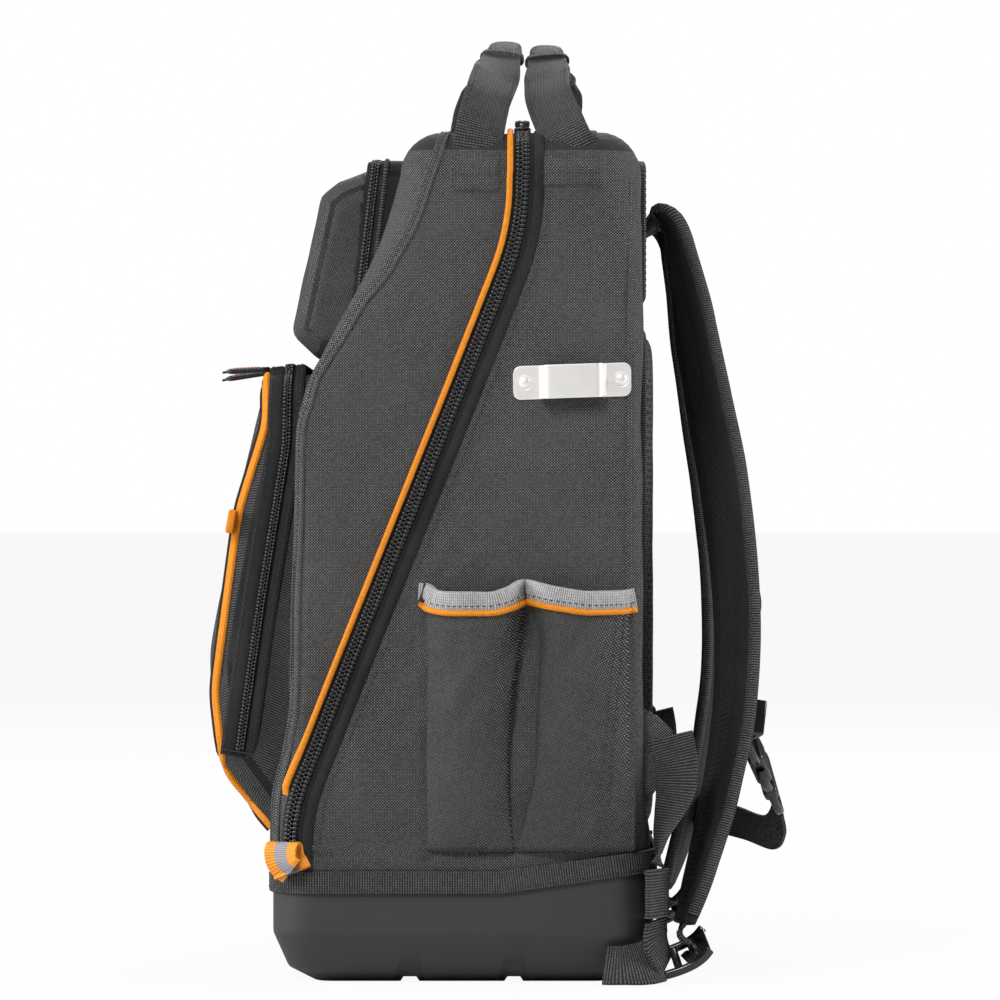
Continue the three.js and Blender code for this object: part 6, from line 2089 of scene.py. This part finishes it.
def ribbon_wall(obj, depth=1.1):
    wall = obj.modifiers.new("wall", "SOLIDIFY")
    wall.thickness, wall.offset, wall.use_even_offset = depth * MM, 0, False
    soft = obj.modifiers.new("soft", "BEVEL")
    soft.width, soft.segments, soft.limit_method = 0.0003, 2, "ANGLE"


for half in pair("ribbon_loop", ribbon_mesh(), RIBBON, ["tab_loop"], 60):
    ribbon_wall(half)

# %% flag on the orange band
FLAG_HEIGHT, FLAG_LEAN = 240.4, -10
flag_place = at_place(127.4, band_course(FLAG_HEIGHT)[0] - 3.6, FLAG_HEIGHT)
flag = moved(block((16, 4.2, 12.4), 1.0, 3), flag_place @ Matrix.Rotation(math.radians(FLAG_LEAN), 4, "X"))
cloth = flag.loops.layers.uv.new("Cloth")
for f in flag.faces:
    for loop in f.loops:
        loop[cloth].uv = (loop.vert.co.y * MM + loop.vert.co.x * MM, loop.vert.co.z * MM)
piece("orange_flag", joined([flag]), ORANGE, ["pocket_flag"])

# %% [markdown]
# Each slider is a low metal body with a bridge. Its pull hangs on a wire link: a black rubber grip
# with notched sides and an orange ribbed inlay.

# %% sliders and pulls
PULL_RUBBER = moulded("pull_rubber", grey(0.008), grey(0.014), 0.42, coat=0.1)
PULL_INLAY = moulded("pull_inlay", (0.66, 0.13, 0.03, 1), (0.78, 0.20, 0.06, 1), 0.45, coat=0.1)


def slider_parts():
    """Length along Y, the pull's side towards -Y, its underside at z = 0."""
    plate_low = block((9.0, 12.0, 1.6), 0.7)
    plate_low = moved(plate_low, at_place(0, 0, 0.8))
    for vert in plate_low.verts:
        vert.co.x *= 1 - 0.28 * ease(vert.co.y / 6)
    bridge = bar([(0, 4.6, 1.2), (0, 4.0, 3.6), (0, 1.0, 4.8), (0, -2.6, 4.6), (0, -4.8, 3.0), (0, -5.0, 1.2)], 3.4,
                 1.3, across=(1, 0, 0))
    return [plate_low, bridge]


def link_ring(start, end, lift):
    """A flat wire ring between two points on the Y axis."""
    middle, reach = (start + end) / 2, abs(end - start) / 2
    points = []
    for k in range(21):
        a = 2 * math.pi * k / 20
        points.append((2.4 * math.cos(a), middle + reach * math.sin(a), lift + 0.4 * math.sin(a)))
    return bar(points, 1.0, 1.0, across=(0, 0, 1), power=2.0, count=8, step=0.6)


def grip(length, start):
    body = block((7.2, length, 3.0), 0.9, 3)
    bmesh.ops.subdivide_edges(body, edges=[e for e in body.edges if e.calc_length() > length * 0.7], cuts=26)
    for vert in body.verts:
        along = (vert.co.y + length / 2) / length
        notch = 0.30 * math.sin(along * math.pi * 18) * (0.12 < along < 0.88)
        taper = 1 - 0.45 * ease((0.10 - along) / 0.10) - 0.3 * ease((along - 0.86) / 0.14)
        vert.co.x = vert.co.x * taper + math.copysign(notch * (abs(vert.co.x) > 2.4), vert.co.x)
        vert.co.z *= 1 - 0.35 * ease((0.12 - along) / 0.12)
    return moved(body, at_place(0, start - length / 2, 0))


def inlay(length, start):
    parts = []
    count = int(length / 1.7)
    for k in range(count):
        parts.append(moved(block((3.9, 1.25, 1.0), 0.42, 2), at_place(0, start - 0.8 - 1.7 * k, 1.55)))
    parts.append(moved(block((3.4, length, 0.7), 0.3, 2), at_place(0, start - length / 2, 1.4)))
    return joined(parts)


def make_pull(name, frame, tip, length, replaced, nose=5.0):
    """frame sets the slider down. tip lets the pull hang by that many degrees."""
    hinge = frame @ Matrix.Translation((0, -4.6, 4.2)) @ Matrix.Rotation(math.radians(tip), 4, "X")
    metal = [moved(p, frame) for p in slider_parts()]
    metal.append(moved(link_ring(1.0, -nose, 0.0), hinge))
    metal.append(moved(link_ring(-nose + 1.8, -nose - 3.0, 0.2), hinge))
    piece(name + "_slider", joined(metal), PULL_METAL, [replaced])
    body = moved(grip(length - nose - 2, -nose - 1.6), hinge)
    end = moved(bar([(0, -length + 0.6, -0.2), (0, -length - 1.8, -0.4)], 1.6, 1.4, across=(1, 0, 0)), hinge)
    piece(name + "_grip", joined([body, end]), PULL_RUBBER)
    piece(name + "_inlay", moved(inlay((length - nose) * 0.56, -nose - 7.5), hinge), PULL_INLAY)


make_pull("pocket_pull_right", at_place(15, -95.5, 319.4), 3.0, 31.0, "pocket_slider_right")
make_pull("pocket_pull_left", at_place(-13, -95.5, 319.4), 9.0, 33.0, "pocket_slider_left")


def crown_frame(aside, lift):
    """On the crown at Y 31: across the bag is the slider's length, and its pull points to the left."""
    spot = side_at(BAG_TOP - CROWN) - CROWN + aside
    return Matrix.Translation((spot, 31, BAG_TOP + lift)) @ Matrix.Rotation(math.radians(-90), 4, "Z")


make_pull("main_pull_outer", crown_frame(0, 1.6), -2.0, 29.0, "main_slider_outer")
make_pull("main_pull_inner", crown_frame(-17, 1.8), -4.0, 29.0, "main_slider_inner")
print("pulls made")

# %% [markdown]
# ## Stitches
# Every stitch so far was only noted as a frame. Here they become one piece: a six-sided bead for
# each stitch, because a thread is too thin for anything finer to show.

# %% stitches
piece("stitches", beads(stitch_bead, all_stitches), THREAD)
print("stitches", len(all_stitches))

# %% [markdown]
# ## Studio
# A plain pale floor, soft light and the camera of the photo: level, square to the wearer's right
# side, and far away with a long lens. The lights are large and stand at the sides, so they graze
# the cloth and bring out its weave. The floor and the world look white to the camera but give
# little light, which keeps the black cloth black.

# %% floor, lights and camera
def make_floor():
    bm = bmesh.new()
    bmesh.ops.create_circle(bm, cap_ends=True, segments=96, radius=40.0)
    mesh = bpy.data.meshes.new("floor")
    bm.to_mesh(mesh)
    bm.free()
    floor = bpy.data.objects.new("floor", mesh)
    bpy.context.scene.collection.objects.link(floor)
    material, tree, shader = start_material("pale_floor", 0.9)
    shader.inputs["Base Color"].default_value = grey(0.7)
    output = tree.nodes["Material Output"]
    white = put(tree, "ShaderNodeEmission", Color=grey(1.0), Strength=1.0)
    seen_share = put(tree, "ShaderNodeMath", {"operation": "MULTIPLY"},
                     i0=put(tree, "ShaderNodeLightPath").outputs["Is Camera Ray"], i1=0.93)
    chosen = put(tree, "ShaderNodeMixShader", i0=seen_share.outputs[0], i1=shader.outputs[0], i2=white.outputs[0])
    tree.links.new(chosen.outputs[0], output.inputs["Surface"])
    mesh.materials.append(material)


def make_studio():
    world = bpy.data.worlds.new("studio")
    bpy.context.scene.world = world
    world.use_nodes = True
    tree = world.node_tree
    lit, seen = tree.nodes["Background"], put(tree, "ShaderNodeBackground", Color=grey(1.0), Strength=1.0)
    lit.inputs["Color"].default_value, lit.inputs["Strength"].default_value = grey(1.0), 0.13
    chosen = put(tree, "ShaderNodeMixShader", i0=put(tree, "ShaderNodeLightPath").outputs["Is Camera Ray"],
                 i1=lit.outputs[0], i2=seen.outputs[0])
    tree.links.new(chosen.outputs[0], tree.nodes["World Output"].inputs["Surface"])
    for name, place, size, power in LIGHTS:
        light = bpy.data.lights.new(name, "AREA")
        light.size, light.energy = size, power
        lamp = bpy.data.objects.new(name, light)
        lamp.location = place
        lamp.rotation_euler = (Vector((0, 0, 0.25)) - Vector(place)).to_track_quat("-Z", "Y").to_euler()
        bpy.context.scene.collection.objects.link(lamp)


LIGHTS = (("key", (2.2, -0.9, 2.4), 1.0, 68), ("front", (0.4, -2.6, 1.2), 1.2, 55),
          ("rear", (0.2, 2.6, 1.3), 1.2, 55), ("far", (-2.4, 0.3, 2.2), 1.4, 55))


def make_camera():
    camera = bpy.data.cameras.new("camera")
    camera.lens, camera.sensor_width = 200, 36
    camera.clip_start, camera.clip_end = 0.1, 100
    eye = bpy.data.objects.new("camera", camera)
    eye.location = (3.06, 0.0192, 0.2517)
    eye.rotation_euler = (math.pi / 2, 0, math.pi / 2)
    bpy.context.scene.collection.objects.link(eye)
    bpy.context.scene.camera = eye


make_floor()
make_studio()
make_camera()
bpy.context.scene.view_settings.view_transform = "Standard"
